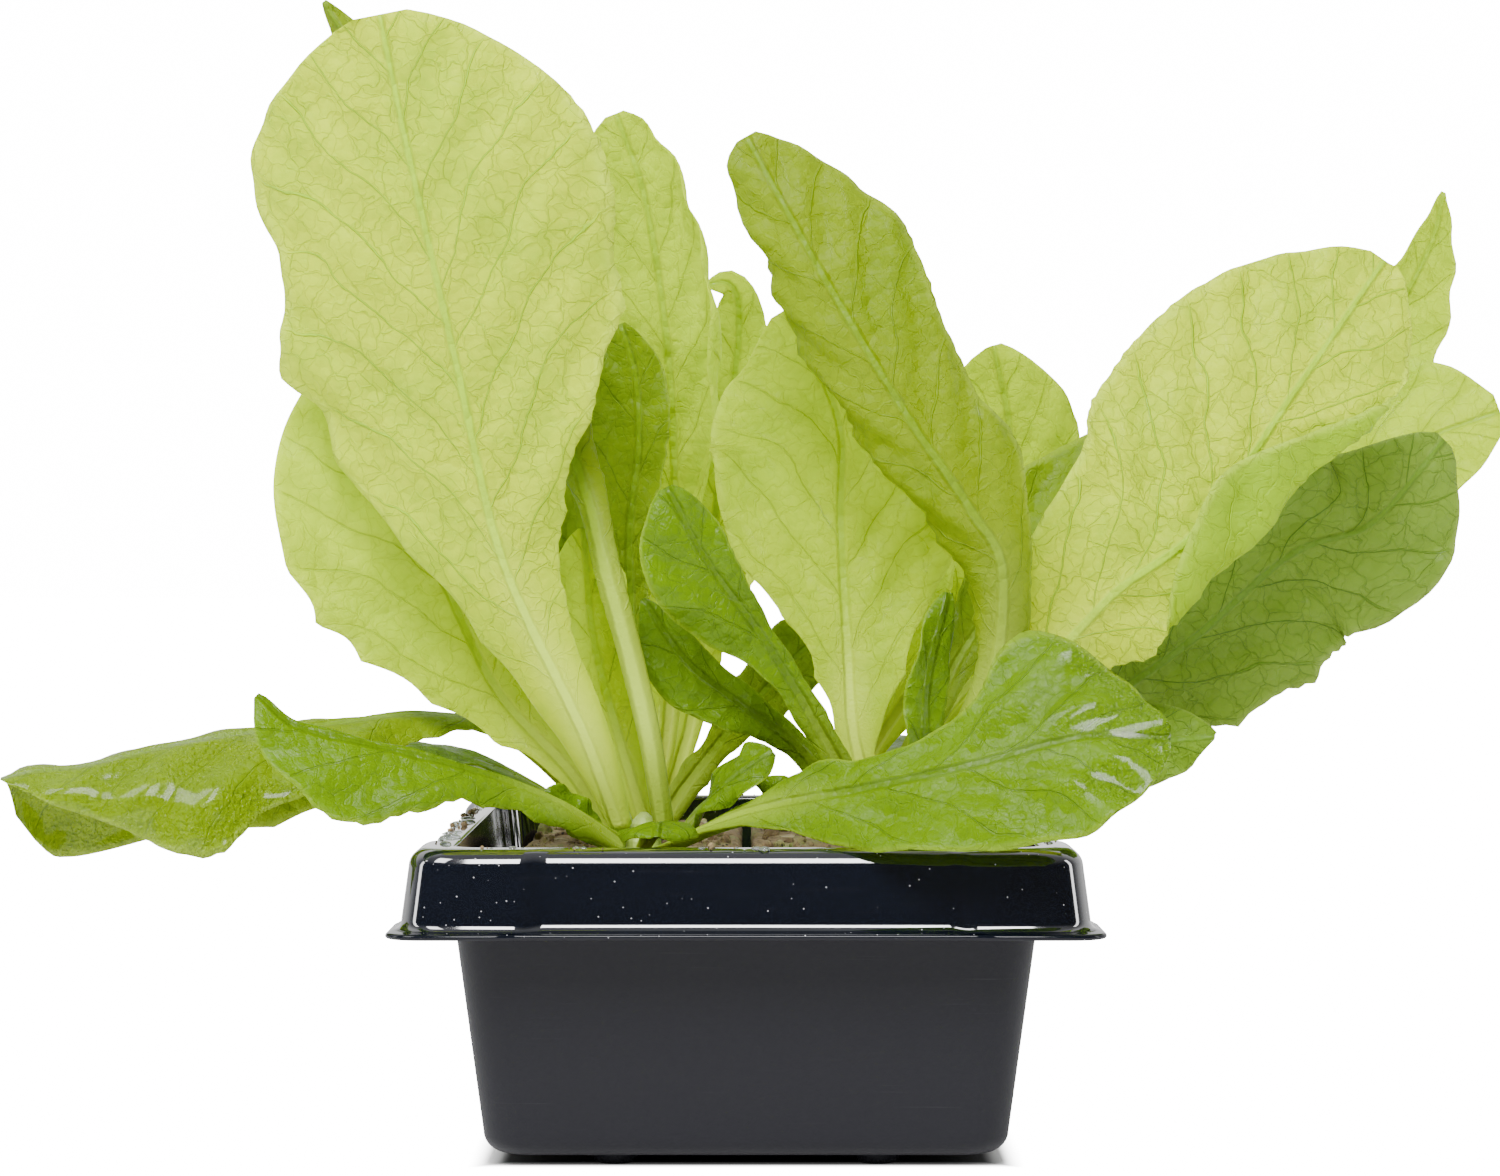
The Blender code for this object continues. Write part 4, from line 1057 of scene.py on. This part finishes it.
def plant_f() -> list[Leaf]:
    """Back right plant: the bright leaves that show past the front ones and those at the back."""
    return [
        Leaf("f_top", 108, 51.8, [(30, 30, 72), (42, 25, 95), (45, 20, 112), (42, 16, 128.5)],
             (0.1, -1, 0.2), [1.8, 2.2, 4, 8, 12, 14, 15, 14, 9],
             right=[1.8, 2.2, 4, 8, 12, 13, 12.5, 11, 7], teeth=7, seed=1, tone=Slot.BRIGHT),
        Leaf("f_right", 350, 47.4,
             [(42, 32, 68), (64, 26, 84), (94, 16, 102), (114, 12, 112), (127, 10, 117)],
             (-0.2, -1, 0.4), [1.8, 2.2, 3, 5, 9, 12, 16.5, 19, 14],
             right=[1.8, 2.2, 3, 5, 9, 12, 13.5, 13.5, 10], lobe=1.0, teeth=8, seed=5,
             tone=Slot.BRIGHT),
        Leaf("f_curl", 30, 50,
             [(56, 44, 88), (88, 36, 112), (108, 26, 130), (116, 18, 144), (118.3, 14, 154.3)],
             (-0.5, -1, 0.3), [1.8, 2.2, 3, 5, 7, 8, 8, 5.5, 4],
             right=[1.8, 2.2, 3, 5, 8, 11, 15, 10.5, 3], curl=60, curl_right=20, lobe=0.8,
             teeth=8, seed=3, tone=Slot.BRIGHT),
        Leaf("f_back", 144, 48, [(23, 56, 68), (29, 74, 90), (34, 88, 108), (37, 98, 126)],
             (-0.1, -0.7, 0.5), [1.8, 2.2, 4, 9, 15, 18, 18, 15, 9], curl=20, lobe=1.6,
             teeth=7, seed=7),
        Leaf("f_back_right", 48, 47.4,
             [(40, 58, 62), (58, 66, 78), (76, 72, 92), (90, 76, 106)],
             (-0.5, -0.6, 0.7), [1.8, 2.2, 4, 8, 13, 16, 16, 13, 8], curl=20, lobe=1.4, teeth=7,
             seed=2),
        Leaf("f_low_back", 97, 47.5, [(22, 60, 55), (28, 77, 59), (34, 93, 57), (37, 104, 51)],
             (0.1, 0.3, 1), [1.6, 2, 3, 6, 10, 12.5, 13, 11, 7], curl=-25, lobe=1.2, teeth=7,
             seed=6, tone=Slot.DEEP),
    ]


def every_leaf() -> list[Leaf]:
    """Every leaf, plant by plant; path holds the midrib's points after the root."""
    return plant_a() + plant_b() + plant_c() + plant_d() + plant_e() + plant_f()


class Foliage:
    """All the leaves of the six plants."""

    FINISHES = (
        LeafFinish(Slot.PALE, upper=(0.22, 0.35, 0.0), under=(0.60, 0.72, 0.004),
                   vein=(0.26, 0.44, 0.0), stalk=(0.66, 0.82, 0.09), glow=(0.82, 0.96, 0.0),
                   passes=0.48, roughness=0.46, shine=0.1, folds=1.2, net=1.2),
        LeafFinish(Slot.BRIGHT, upper=(0.46, 0.59, 0.0), under=(0.50, 0.63, 0.0),
                   vein=(0.24, 0.38, 0.0), stalk=(0.66, 0.80, 0.08), glow=(0.82, 0.98, 0.0),
                   passes=0.54, roughness=0.42, shine=0.1, folds=1.4, net=0.6),
        LeafFinish(Slot.MID, upper=(0.19, 0.29, 0.0), under=(0.215, 0.30, 0.0),
                   vein=(0.11, 0.19, 0.0), stalk=(0.50, 0.66, 0.06), glow=(0.42, 0.56, 0.0),
                   passes=0.46, roughness=0.42, shine=0.12, folds=1.1, net=0.5),
        LeafFinish(Slot.DEEP, upper=(0.115, 0.22, 0.0), under=(0.15, 0.24, 0.0),
                   vein=(0.055, 0.11, 0.0), stalk=(0.38, 0.54, 0.03), glow=(0.36, 0.52, 0.0),
                   passes=0.38, roughness=0.3, shine=0.14, folds=0.9, net=0.4, coat=0.03),
        LeafFinish(Slot.GREY, upper=(0.15, 0.26, 0.015), under=(0.21, 0.33, 0.04),
                   vein=(0.09, 0.175, 0.008), stalk=(0.42, 0.56, 0.12),
                   glow=(0.38, 0.52, 0.025), passes=0.44, roughness=0.46, shine=0.12, folds=0.9,
                   net=1.2),
    )

    def build(self) -> None:
        """Builds and dresses each leaf."""
        materials = {finish.slot: finish.material() for finish in self.FINISHES}
        for leaf in every_leaf():
            dressed(leaf.build(materials[leaf.tone]), leaf.tone, f"leaf_{leaf.name}")


@dataclass(frozen=True)
class PlasticFinish:
    """Black plastic: glossy and specked above the lip, matt and faintly scratched below it."""

    glossy: Colour = (0.002, 0.003, 0.006)
    matt: Colour = (0.009, 0.009, 0.012)
    speck: Colour = (0.62, 0.62, 0.64)
    lip_height: float = 36.3

    def material(self) -> bpy.types.Material:
        """Builds the plastic on Object coordinates.

        Returns:
            The material.
        """
        graph = Graph.for_material("tray_plastic")
        place = graph.place_mm()
        _, _, height = graph.parts(place)
        upper = height.rise(self.lip_height - 0.3, self.lip_height + 0.3)
        smear = graph.noise(place, 0.07, 3.0)
        grain = graph.noise(place, 2.5, 2.0)
        drawn = graph.noise(graph.vector("MULTIPLY", place, (0.06, 0.06, 2.4)), 1.0, 2.0)
        scratch = graph.noise(graph.vector("MULTIPLY", place, (0.05, 0.05, 4.0)), 1.0, 4.0)
        dust = graph.cells(place, 0.8, "F1")
        chosen, _, _ = graph.parts(graph.other(dust, "Color"))
        specks = dust.fall(0.03, 0.11) * chosen.above(0.4) * upper
        colour = graph.mix(upper, self.matt, self.glossy)
        colour = graph.mix(scratch.rise(0.15, 0.35) * 0.03, colour, self.speck)
        colour = graph.mix(specks * 0.8, colour, self.speck)
        rough = (upper * -0.42 + 0.5 + smear * 0.06 + specks * 0.4
                 + scratch.rise(0.05, 0.3) * 0.04).most(0.04)
        relief = grain * (0.05 - upper * 0.0495) + drawn * (0.02 - upper * 0.018)
        surface = graph.principled({
            "Base Color": colour,
            "Roughness": rough,
            "Specular IOR Level": 0.15,
            "Coat Weight": height.rise(self.lip_height + 0.6, self.lip_height + 1.1),
            "Coat IOR": 1.85,
            "Coat Roughness": 0.07,
            "Normal": graph.bump(relief, 0.5),
        })
        return graph.finish(surface)


@dataclass(frozen=True)
class PeatFinish:
    """Tan brown peat with black crumbs and green growth on it."""

    tan: Colour = (0.30, 0.21, 0.11)
    brown: Colour = (0.10, 0.062, 0.032)
    black: Colour = (0.012, 0.010, 0.008)
    moss: Colour = (0.13, 0.17, 0.025)
    pale: Colour = (0.52, 0.44, 0.27)

    def material(self) -> bpy.types.Material:
        """Builds the peat on Object coordinates.

        Returns:
            The material.
        """
        graph = Graph.for_material("peat_earth")
        place = graph.place_mm()
        lump = graph.noise(place, 0.16, 3.0)
        crumb = graph.noise(place, 0.8, 4.0)
        fleck = graph.cells(place, 0.9, "F1").fall(0.15, 0.34)
        growth = graph.noise(place, 0.12, 4.0).rise(0.02, 0.2)
        colour = graph.mix((crumb * 1.5 + 0.45).most(0.0), self.brown, self.tan)
        colour = graph.mix(lump.rise(0.05, 0.25) * 0.7, colour, self.pale)
        colour = graph.mix(growth * 0.75, colour, self.moss)
        colour = graph.mix(fleck * crumb.rise(-0.1, 0.1), colour, self.black)
        surface = graph.principled({
            "Base Color": colour,
            "Roughness": 0.93 - growth * 0.2,
            "Normal": graph.bump(crumb * 0.9 + lump * 0.6, 0.9),
        })
        return graph.finish(surface)


@dataclass(frozen=True)
class StemFinish:
    """Pale green stem, ringed where leaves were."""

    green: Colour = (0.30, 0.44, 0.05)
    cream: Colour = (0.42, 0.54, 0.13)

    def material(self) -> bpy.types.Material:
        """Builds the stem on Object coordinates.

        Returns:
            The material.
        """
        graph = Graph.for_material("stem_skin")
        place = graph.place_mm()
        grain = graph.noise(graph.vector("MULTIPLY", place, (1.0, 1.0, 0.25)), 1.2, 3.0)
        surface = graph.principled({
            "Base Color": graph.mix((grain * 1.4 + 0.4).most(0.0), self.green, self.cream),
            "Roughness": 0.45 + grain * 0.1,
            "Normal": graph.bump(grain, 0.4),
        })
        return graph.finish(surface)


@dataclass(frozen=True)
class WaterFinish:
    """Clear water drop."""

    def material(self) -> bpy.types.Material:
        """Builds the water, its gloss very slightly uneven.

        Returns:
            The material.
        """
        graph = Graph.for_material("water_drop")
        texture = graph.node("ShaderNodeTexCoord", {}, {}, output="Object")
        haze = graph.noise(texture, 300.0, 1.0)
        surface = graph.principled({
            "Base Color": (0.9, 0.95, 0.95),
            "Roughness": 0.03 + haze * 0.02,
            "IOR": 1.33,
            "Transmission Weight": 0.9,
        })
        return graph.finish(surface)


Step = tuple[tuple[float, float], float, float, float]


@dataclass
class Tray:
    """Thin-walled growing tray with a flat rim, a skirt with proud corners, a lip and feet."""

    sheet: float = 0.9
    rim_top: float = 49.0
    rim_inner: tuple = (44.0, 65.0)
    skirt_top: tuple = (49.0, 71.0)
    skirt_foot: tuple = (50.0, 72.0)
    skirt_bottom: float = 36.9
    flange_edge: tuple = (52.8, 74.8)
    wall_foot: tuple = (40.0, 61.0)
    wall_bottom: float = 1.8
    floor_round: float = 3.6
    corner: float = 6.0
    bulge: float = 1.5
    bulge_start: tuple = (0.68, 0.74)
    bulge_end: tuple = (0.78, 0.80)
    shoulder: float = 2.8
    fillet: float = 1.6
    arc_steps: int = 7
    swing_steps: int = 7
    corner_steps: int = 12
    foot_radius: float = 3.15
    foot_flare: float = 0.4
    rim_round: float = 0.8
    lip_slope: float = 0.1
    foot_places: tuple = ((0, 0), (-20, -52), (20, -52), (-20, 0), (20, 0), (-20, 52), (20, 52))

    def ring(self, half: tuple[float, float], z: float, corner: float,
             bulge: float) -> list[Vector]:
        """Rounded rectangle whose corner zones stand out by bulge.

        Args:
            half: half sizes along X and Y.
            z: height.
            corner: corner radius.
            bulge: how far the corner zones stand out.

        Returns:
            The points, once round.
        """
        hx, hy = half
        cx = hx + bulge - corner
        cy = hy + bulge - corner
        swings = [np.linspace(self.bulge_start[k], self.bulge_end[k], self.swing_steps)
                  for k in range(2)]
        reach = bulge * smooth_step(0.0, 1.0, np.linspace(0, 1, self.swing_steps))
        quarter = [(0.0, -hy)]
        quarter += [(cx * share, -hy - out) for share, out in zip(swings[0], reach)]
        for angle in np.linspace(-math.pi / 2, 0, self.corner_steps + 1):
            quarter.append((cx + corner * math.cos(angle), -cy + corner * math.sin(angle)))
        quarter += [(hx + out, -cy * share) for share, out in zip(swings[1][::-1], reach[::-1])]
        ring = [(x, y) for x, y in quarter] + [(x, -y) for x, y in reversed(quarter)]
        ring += [(-x, -y) for x, y in quarter[1:]] + [(-x, y) for x, y in reversed(quarter[1:])]
        return [Vector((x, y, z)) for x, y in ring]

    def _bend(self, start: Step, end: Step, across_first: bool) -> list[Step]:
        """Quarter-round run of steps from start to end.

        Args:
            start: first step, as half sizes, height, corner and bulge.
            end: last step.
            across_first: True where the run leaves start sideways and reaches end upright.

        Returns:
            The steps, both ends included.
        """
        run = []
        for angle in np.linspace(0, math.pi / 2, self.arc_steps + 1):
            slow, fast = 1 - math.cos(angle), math.sin(angle)
            across, down = (fast, slow) if across_first else (slow, fast)
            half = tuple(a + (b - a) * across for a, b in zip(start[0], end[0]))
            z = start[1] + (end[1] - start[1]) * down
            corner = start[2] + (end[2] - start[2]) * across
            run.append((half, z, corner, start[3] + (end[3] - start[3]) * across))
        return run

    def profile(self) -> list[Step]:
        """Lists the steps of the wall.

        Returns:
            Half sizes, height, corner and bulge of each, from the inner floor over the rim and
            the lip to the underside.
        """
        rim, low, wide, turn = self.rim_top, self.skirt_bottom, self.corner, self.floor_round
        floor = self.wall_bottom + self.sheet
        inner = grown(self.wall_foot, -self.sheet)
        steps = self._bend((grown(inner, -turn), floor, wide - 2.4, 0),
                           (inner, floor + turn, wide - 0.9, 0), across_first=True)
        brim = grown(self.rim_inner, self.rim_round)
        steps += self._bend((self.rim_inner, rim - self.rim_round, wide, 0),
                            (brim, rim, wide + 0.6, 0.2), across_first=False)
        steps += self._bend((grown(self.skirt_top, -self.shoulder), rim, wide - 0.6, self.bulge),
                            (self.skirt_top, rim - self.shoulder, wide + 1.2, self.bulge),
                            across_first=True)
        foot = grown(self.skirt_foot, self.fillet)
        steps += self._bend((self.skirt_foot, low + self.fillet, wide + 1.5, self.bulge),
                            (foot, low, wide + 1.5, self.bulge * 0.8), across_first=False)
        lip = low - self.lip_slope
        last = (wide - 1.0, self.bulge * 0.5)
        back = grown(self.flange_edge, -self.sheet / 2)
        edge = (self.flange_edge, lip - self.sheet / 2, *last)
        steps += self._bend((back, lip, *last), edge, across_first=True)
        steps += self._bend(edge, (back, lip - self.sheet, *last), across_first=False)
        steps += [
            (grown(self.skirt_foot, 0.4), low - self.sheet, wide + 1.0, self.bulge * 0.8),
            (grown(self.skirt_foot, -self.sheet), low + 0.6, wide + 0.8, self.bulge),
            (grown(self.skirt_top, -self.sheet), rim - self.shoulder - 0.9, wide, self.bulge),
            (grown(self.skirt_top, -self.shoulder), rim - self.sheet, wide - 0.8, self.bulge),
            (grown(self.rim_inner, self.sheet + 0.4), rim - self.sheet, wide + 0.6, 0.2),
        ]
        steps += self._bend((self.wall_foot, self.wall_bottom + turn, wide, 0),
                            (grown(self.wall_foot, -turn), self.wall_bottom, wide - 1.4, 0),
                            across_first=False)
        return steps

    def shell(self) -> bmesh.types.BMesh:
        """Extrudes the ring through the profile and closes both ends.

        Returns:
            The tray's shape, without its feet.
        """
        rings = [self.ring(*step) for step in self.profile()]
        shape = bmesh.new()
        first = bmesh.ops.create_circle(shape, segments=len(rings[0]), radius=1.0)["verts"]
        for vert, place in zip(first, rings[0]):
            vert.co = place
        loop = list(shape.edges)
        ends = [loop]
        for ring in rings[1:]:
            made = bmesh.ops.extrude_edge_only(shape, edges=loop)["geom"]
            loop = [g for g in made if isinstance(g, bmesh.types.BMEdge)]
            verts = [g for g in made if isinstance(g, bmesh.types.BMVert)]
            for vert, place in zip(verts, ring):
                vert.co = place
        ends.append(loop)
        for edges in ends:
            bmesh.ops.edgeloop_fill(shape, edges=edges)
        bmesh.ops.recalc_face_normals(shape, faces=shape.faces)
        return shape

    def feet(self) -> bmesh.types.BMesh:
        """Makes round feet, each with a softened lower edge.

        Returns:
            The shape of all feet.
        """
        shape = bmesh.new()
        height = self.wall_bottom + self.sheet / 2
        for x, y in self.foot_places:
            made = bmesh.ops.create_cone(
                shape, cap_ends=True, segments=32, radius1=self.foot_radius,
                radius2=self.foot_radius + self.foot_flare, depth=height)["verts"]
            bmesh.ops.translate(shape, vec=(x, y, height / 2), verts=made)
            lower = dict.fromkeys(e for v in made for e in v.link_edges
                                  if all(end.co.z < height / 10 for end in e.verts))
            bmesh.ops.bevel(
                shape, geom=list(lower), offset=self.foot_flare, segments=3, profile=0.5,
                affect="EDGES", material=-1)
        return shape

    def build(self) -> None:
        """Builds and dresses the tray and its feet."""
        plastic = PlasticFinish().material()
        dressed(new_piece("tray_shell", self.shell(), plastic, sharp=60), Slot.PLASTIC, "tray")
        dressed(new_piece("tray_feet", self.feet(), plastic), Slot.PLASTIC, "tray")


def grown(half: tuple[float, float], amount: float) -> tuple[float, float]:
    """Half sizes made larger on every side."""
    return (half[0] + amount, half[1] + amount)


@dataclass
class PeatBed:
    """Six crumbly peat blocks with loose crumbs on top."""

    pitch: float = 37.4
    half: float = 18.2
    bottom: float = 3.0
    top: float = 45.4
    rounding: float = 1.6
    cuts: int = 30
    crumbs: int = 90
    margin: float = 2.0
    skin: float = 0.2

    # Fine grain and broad lumps of the skin: waves per millimetre and heights
    SPREAD = 70
    GRAIN = 0.28
    GRAIN_DEPTH = 0.42
    LUMP = 0.13
    LUMP_HEIGHT = 0.9
    SINK = 0.25

    def block(self, centre: Vector, index: int) -> bmesh.types.BMesh:
        """One block: a rounded box with a rough skin.

        Args:
            centre: middle of the block on the ground.
            index: number that sets its roughness apart.

        Returns:
            The block's shape.
        """
        shape = bmesh.new()
        bmesh.ops.create_cube(shape, size=2.0)
        bmesh.ops.subdivide_edges(shape, edges=shape.edges, cuts=self.cuts, use_grid_fill=True)
        height = (self.top - self.bottom) / 2
        sizes = Vector((self.half - self.skin, self.half - self.skin, height))
        core = sizes - Vector((self.rounding,) * 3)
        for vert in shape.verts:
            want = Vector(a * b for a, b in zip(vert.co, sizes))
            inner = Vector(max(-c, min(c, w)) for c, w in zip(core, want))
            out = (want - inner).normalized() if (want - inner).length > 0 else Vector((0, 0, 1))
            place = inner + out * self.rounding
            spot = place + Vector((0, 0, self.SPREAD * index))
            rough = noise.fractal(spot * self.GRAIN, 0.6, 2.0, 4) * self.GRAIN_DEPTH
            lumps = max(0.0, noise.noise(spot * self.LUMP)) * self.LUMP_HEIGHT * max(0.0, out.z)
            vert.co = place + out * (min(rough, self.skin) + lumps - self.SINK)
        bmesh.ops.translate(shape, vec=centre + Vector((0, 0, self.bottom + height)),
                            verts=shape.verts)
        return shape

    def loose(self, centre: Vector, index: int) -> bmesh.types.BMesh:
        """Strews crumbs over one block.

        Args:
            centre: middle of the block on the ground.
            index: seed of the crumbs.

        Returns:
            The shape of all crumbs.
        """
        draw = random.Random(index)
        shape = bmesh.new()
        for _ in range(self.crumbs):
            size = draw.uniform(0.25, 0.6) + draw.random() ** 4 * 0.9
            made = bmesh.ops.create_icosphere(shape, subdivisions=2, radius=size)["verts"]
            squash = Vector(draw.uniform(0.6, 1.3) for _ in range(3))
            across, along = (draw.uniform(-1, 1) * (self.half - self.margin) for _ in range(2))
            where = Vector((across, along, self.top + size * 0.1))
            for vert in made:
                rough = 1 + 0.35 * noise.noise(vert.co * 2.1 + where)
                vert.co = Vector(a * b for a, b in zip(vert.co, squash)) * rough + where
        bmesh.ops.translate(shape, vec=centre, verts=shape.verts)
        return shape

    def build(self) -> None:
        """Builds and dresses the blocks and their crumbs."""
        peat = PeatFinish().material()
        index = 0
        for row, pair in ((-1, "ab"), (0, "cd"), (1, "ef")):
            for column, plant in zip((-1, 1), pair):
                index += 1
                centre = Vector((self.pitch / 2 * column, self.pitch * row, 0))
                block = new_piece(f"peat_{plant}", self.block(centre, index), peat)
                dressed(block, Slot.PEAT, f"peat_block_{plant}")
                dressed(new_piece(f"crumbs_{plant}", self.loose(centre, index), peat), Slot.PEAT)


@dataclass
class Stems:
    """Short stems that the leaves stand round."""

    radius: float = 3.2
    foot: float = 40.0
    tip: float = 52.6
    tip_radius: float = 1.9
    rings: int = 14
    sides: int = 28

    TAPER = (0.4, 0.95)
    DOME_FROM = 0.8

    def one(self, plant: str) -> bmesh.types.BMesh:
        """Extrudes a tapering stem with low rings, closed over at its tip.

        Args:
            plant: the letter of its plant.

        Returns:
            The stem's shape.
        """
        x, y = PLANTS[plant]
        shape = bmesh.new()
        bmesh.ops.create_circle(shape, segments=self.sides, radius=self.radius, cap_ends=True)
        bmesh.ops.translate(shape, vec=(x, y, self.foot), verts=shape.verts)
        face = shape.faces[:]
        for k in range(1, self.rings + 1):
            share = k / self.rings
            z = self.foot + (self.tip - self.foot) * share
            taper = smooth_step(*self.TAPER, share)
            body = self.radius + (self.tip_radius - self.radius) * taper
            body *= 1 + 0.05 * math.sin(k * 2.2)
            body *= math.sqrt(max(0.06, 1 - ramp(self.DOME_FROM, 1.0, share) ** 2))
            made = bmesh.ops.extrude_face_region(shape, geom=face)
            face = [g for g in made["geom"] if isinstance(g, bmesh.types.BMFace)]
            for vert in {v for f in face for v in f.verts}:
                flat = Vector((vert.co.x - x, vert.co.y - y, 0)).normalized() * body
                vert.co = Vector((x, y, z)) + flat
        bmesh.ops.recalc_face_normals(shape, faces=shape.faces)
        return shape

    def build(self) -> None:
        """Builds and dresses the stems."""
        skin = StemFinish().material()
        for plant in PLANTS:
            dressed(new_piece(f"crown_{plant}", self.one(plant), skin), Slot.STEM, f"stem_{plant}")


@dataclass
class Sprinkle:
    """Water drops and specks of soil that lie on the tray's rim."""

    ledge_in: tuple = (45.4, 66.4)
    ledge_out: tuple = (47.6, 69.6)
    height: float = 49.0
    drops: int = 90
    specks: int = 120
    end_share: float = 0.35
    reach: float = 0.9

    DROP_SEED = 11
    SPECK_SEED = 12

    def _on_ledge(self, draw: random.Random) -> Vector:
        """Draws a place on the flat of the rim.

        Args:
            draw: the random numbers to use.

        Returns:
            The place, in millimetres.
        """
        end = draw.random() < self.end_share
        out = draw.random()
        across = [a + (b - a) * out for a, b in zip(self.ledge_in, self.ledge_out)]
        sign = draw.choice((-1, 1))
        along = draw.uniform(-1, 1) * self.reach
        if end:
            return Vector((along * self.ledge_in[0], sign * across[1], self.height))
        return Vector((sign * across[0], along * self.ledge_in[1], self.height))

    def water(self) -> bmesh.types.BMesh:
        """Makes flattened drops.

        Returns:
            The shape of all drops.
        """
        draw = random.Random(self.DROP_SEED)
        shape = bmesh.new()
        for _ in range(self.drops):
            size = 0.25 + draw.random() ** 3 * 0.9
            made = bmesh.ops.create_uvsphere(
                shape, u_segments=16, v_segments=10, radius=size)["verts"]
            where = self._on_ledge(draw)
            stretch = Vector((draw.uniform(0.8, 1.4), draw.uniform(0.8, 1.4), 0.5))
            for vert in made:
                vert.co = Vector(a * b for a, b in zip(vert.co, stretch)) + where
        return shape

    def soil(self) -> bmesh.types.BMesh:
        """Makes small dark crumbs.

        Returns:
            The shape of all crumbs.
        """
        draw = random.Random(self.SPECK_SEED)
        shape = bmesh.new()
        for _ in range(self.specks):
            size = 0.12 + draw.random() ** 3 * 0.5
            made = bmesh.ops.create_icosphere(shape, subdivisions=2, radius=size)["verts"]
            where = self._on_ledge(draw) + Vector((0, 0, size * 0.5))
            for vert in made:
                vert.co = vert.co * (1 + 0.4 * noise.noise(vert.co * 3 + where)) + where
        return shape

    def build(self) -> None:
        """Builds and dresses the drops and the crumbs."""
        dressed(new_piece("rim_drops", self.water(), WaterFinish().material()), Slot.PLASTIC)
        peat = bpy.data.materials["peat_earth"]
        dressed(new_piece("rim_crumbs", self.soil(), peat), Slot.PEAT)


# Half size of the tray's foot as a share of the lip's
FOOT_SHARE = 0.73


def cad_half(axis: int) -> float:
    """Half size of the tray's foot along an axis, in metres."""
    low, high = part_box("tray")
    return (high[axis] - low[axis]) / 2 * FOOT_SHARE


@dataclass
class Studio:
    """Camera, soft lights, white surroundings and a pale floor."""

    camera_place: tuple = (0.0006, -0.664, 0.092)
    lens: float = 96.0
    sensor: float = 36.0
    horizon_row: float = 560.0
    picture: tuple = (1500.0, 1176.0)
    room: float = 0.06
    backdrop: float = 1.3
    ceiling: float = 0.6
    white: float = 16.0
    low_glow: float = 0.12

    LIGHTS = (
        ("softbox_top", (0.0, -0.62, 0.62), (0.23, 0.38), 10.0),
        ("softbox_high", (-0.45, -0.45, 0.75), (0.4, 0.4), 11.0),
        ("softbox_left", (-0.75, -0.05, 0.25), (0.1, 0.6), 2.4),
        ("softbox_right", (0.75, -0.05, 0.25), (0.1, 0.6), 2.4),
    )
    AIM = (0.0, 0.0, 0.08)
    FLOOR_SIZE = 9000.0

    def camera(self) -> None:
        """Looks level along +Y, with the horizon a little above the middle of the picture."""
        lens = bpy.data.cameras.new("camera")
        lens.lens = self.lens
        lens.sensor_width = self.sensor
        lens.shift_y = (self.horizon_row - self.picture[1] / 2) / self.picture[0]
        lens.clip_start = 0.01
        made = bpy.data.objects.new("camera", lens)
        made.location = self.camera_place
        made.rotation_euler = (math.pi / 2, 0, 0)
        bpy.context.scene.collection.objects.link(made)
        bpy.context.scene.camera = made

    @staticmethod
    def panel(name: str, place: tuple, size: tuple, power: float) -> None:
        """A soft light that faces the middle of the plants.

        Args:
            name: the light's name.
            place: where it hangs, in metres.
            size: its width and height, in metres.
            power: its power in watts.
        """
        light = bpy.data.lights.new(name, "AREA")
        light.shape = "RECTANGLE"
        light.size, light.size_y = size
        light.energy = power
        made = bpy.data.objects.new(name, light)
        made.location = place
        aim = Vector(Studio.AIM) - Vector(place)
        made.rotation_euler = aim.to_track_quat("-Z", "Y").to_euler()
        bpy.context.scene.collection.objects.link(made)

    def surroundings(self) -> None:
        """White to the camera; a bright backdrop and ceiling in a dim room to everything else."""
        world = bpy.data.worlds.new("studio")
        world.use_nodes = True
        bpy.context.scene.world = world
        graph = Graph(world.node_tree)
        direction = graph.node("ShaderNodeTexCoord", {}, {}, output="Generated")
        _, y, z = graph.parts(direction)
        light = y.rise(0.0, 0.6) * self.backdrop + z.rise(0.35, 0.95) * self.ceiling + self.room
        seen = graph.node("ShaderNodeLightPath", {}, {}, output="Is Camera Ray")
        strength = light + seen * (self.white - light)
        glow = graph.node(
            "ShaderNodeBackground", {}, {"Color": (1.0, 1.0, 1.0), "Strength": strength})
        graph.node("ShaderNodeOutputWorld", {}, {"Surface": glow})

    def floor(self) -> None:
        """Large pale floor that is lit from below, as a light table is, with a painted contact
        shadow: its colour and its glow go dark under the tray.
        """
        shape = bmesh.new()
        bmesh.ops.create_grid(shape, x_segments=4, y_segments=4, size=self.FLOOR_SIZE)
        graph = Graph.for_material("pale_floor")
        place = graph.node("ShaderNodeTexCoord", {}, {}, output="Object")
        x, y, _ = graph.parts(place)
        away = (abs(x) - cad_half(0)).most(abs(y) - cad_half(1))
        seen = graph.node("ShaderNodeLightPath", {}, {}, output="Is Camera Ray")
        # Painted contact shadow: 0 under the tray's foot, rising to 1 just past its edge
        shade = away.rise(-0.003, 0.001)
        dim = graph.mix(shade, (0.0, 0.0, 0.0), (self.low_glow / self.white,) * 3)
        surface = graph.principled({
            # The painted contact shadow darkens the floor's colour and takes away its glow under
            # the tray
            "Base Color": graph.mix(shade, (0.02, 0.02, 0.02), (0.93, 0.93, 0.93)),
            "Roughness": 0.9,
            "Emission Color": graph.mix(away.rise(0.0, 0.004) * seen, dim, (1.0, 1.0, 1.0)),
            "Emission Strength": self.white,
        })
        new_piece("floor", shape, graph.finish(surface))

    def build(self) -> None:
        """Sets up the camera, the lights, the surroundings and the floor."""
        self.camera()
        self.surroundings()
        self.floor()
        for name, place, size, power in self.LIGHTS:
            self.panel(name, place, size, power)


def main() -> None:
    """Builds every part of the scene in order."""
    logging.basicConfig(level=logging.INFO, format="%(message)s")
    Tray().build()
    PeatBed().build()
    Stems().build()
    Foliage().build()
    Sprinkle().build()
    Studio().build()


if __name__ == "__main__":
    main()
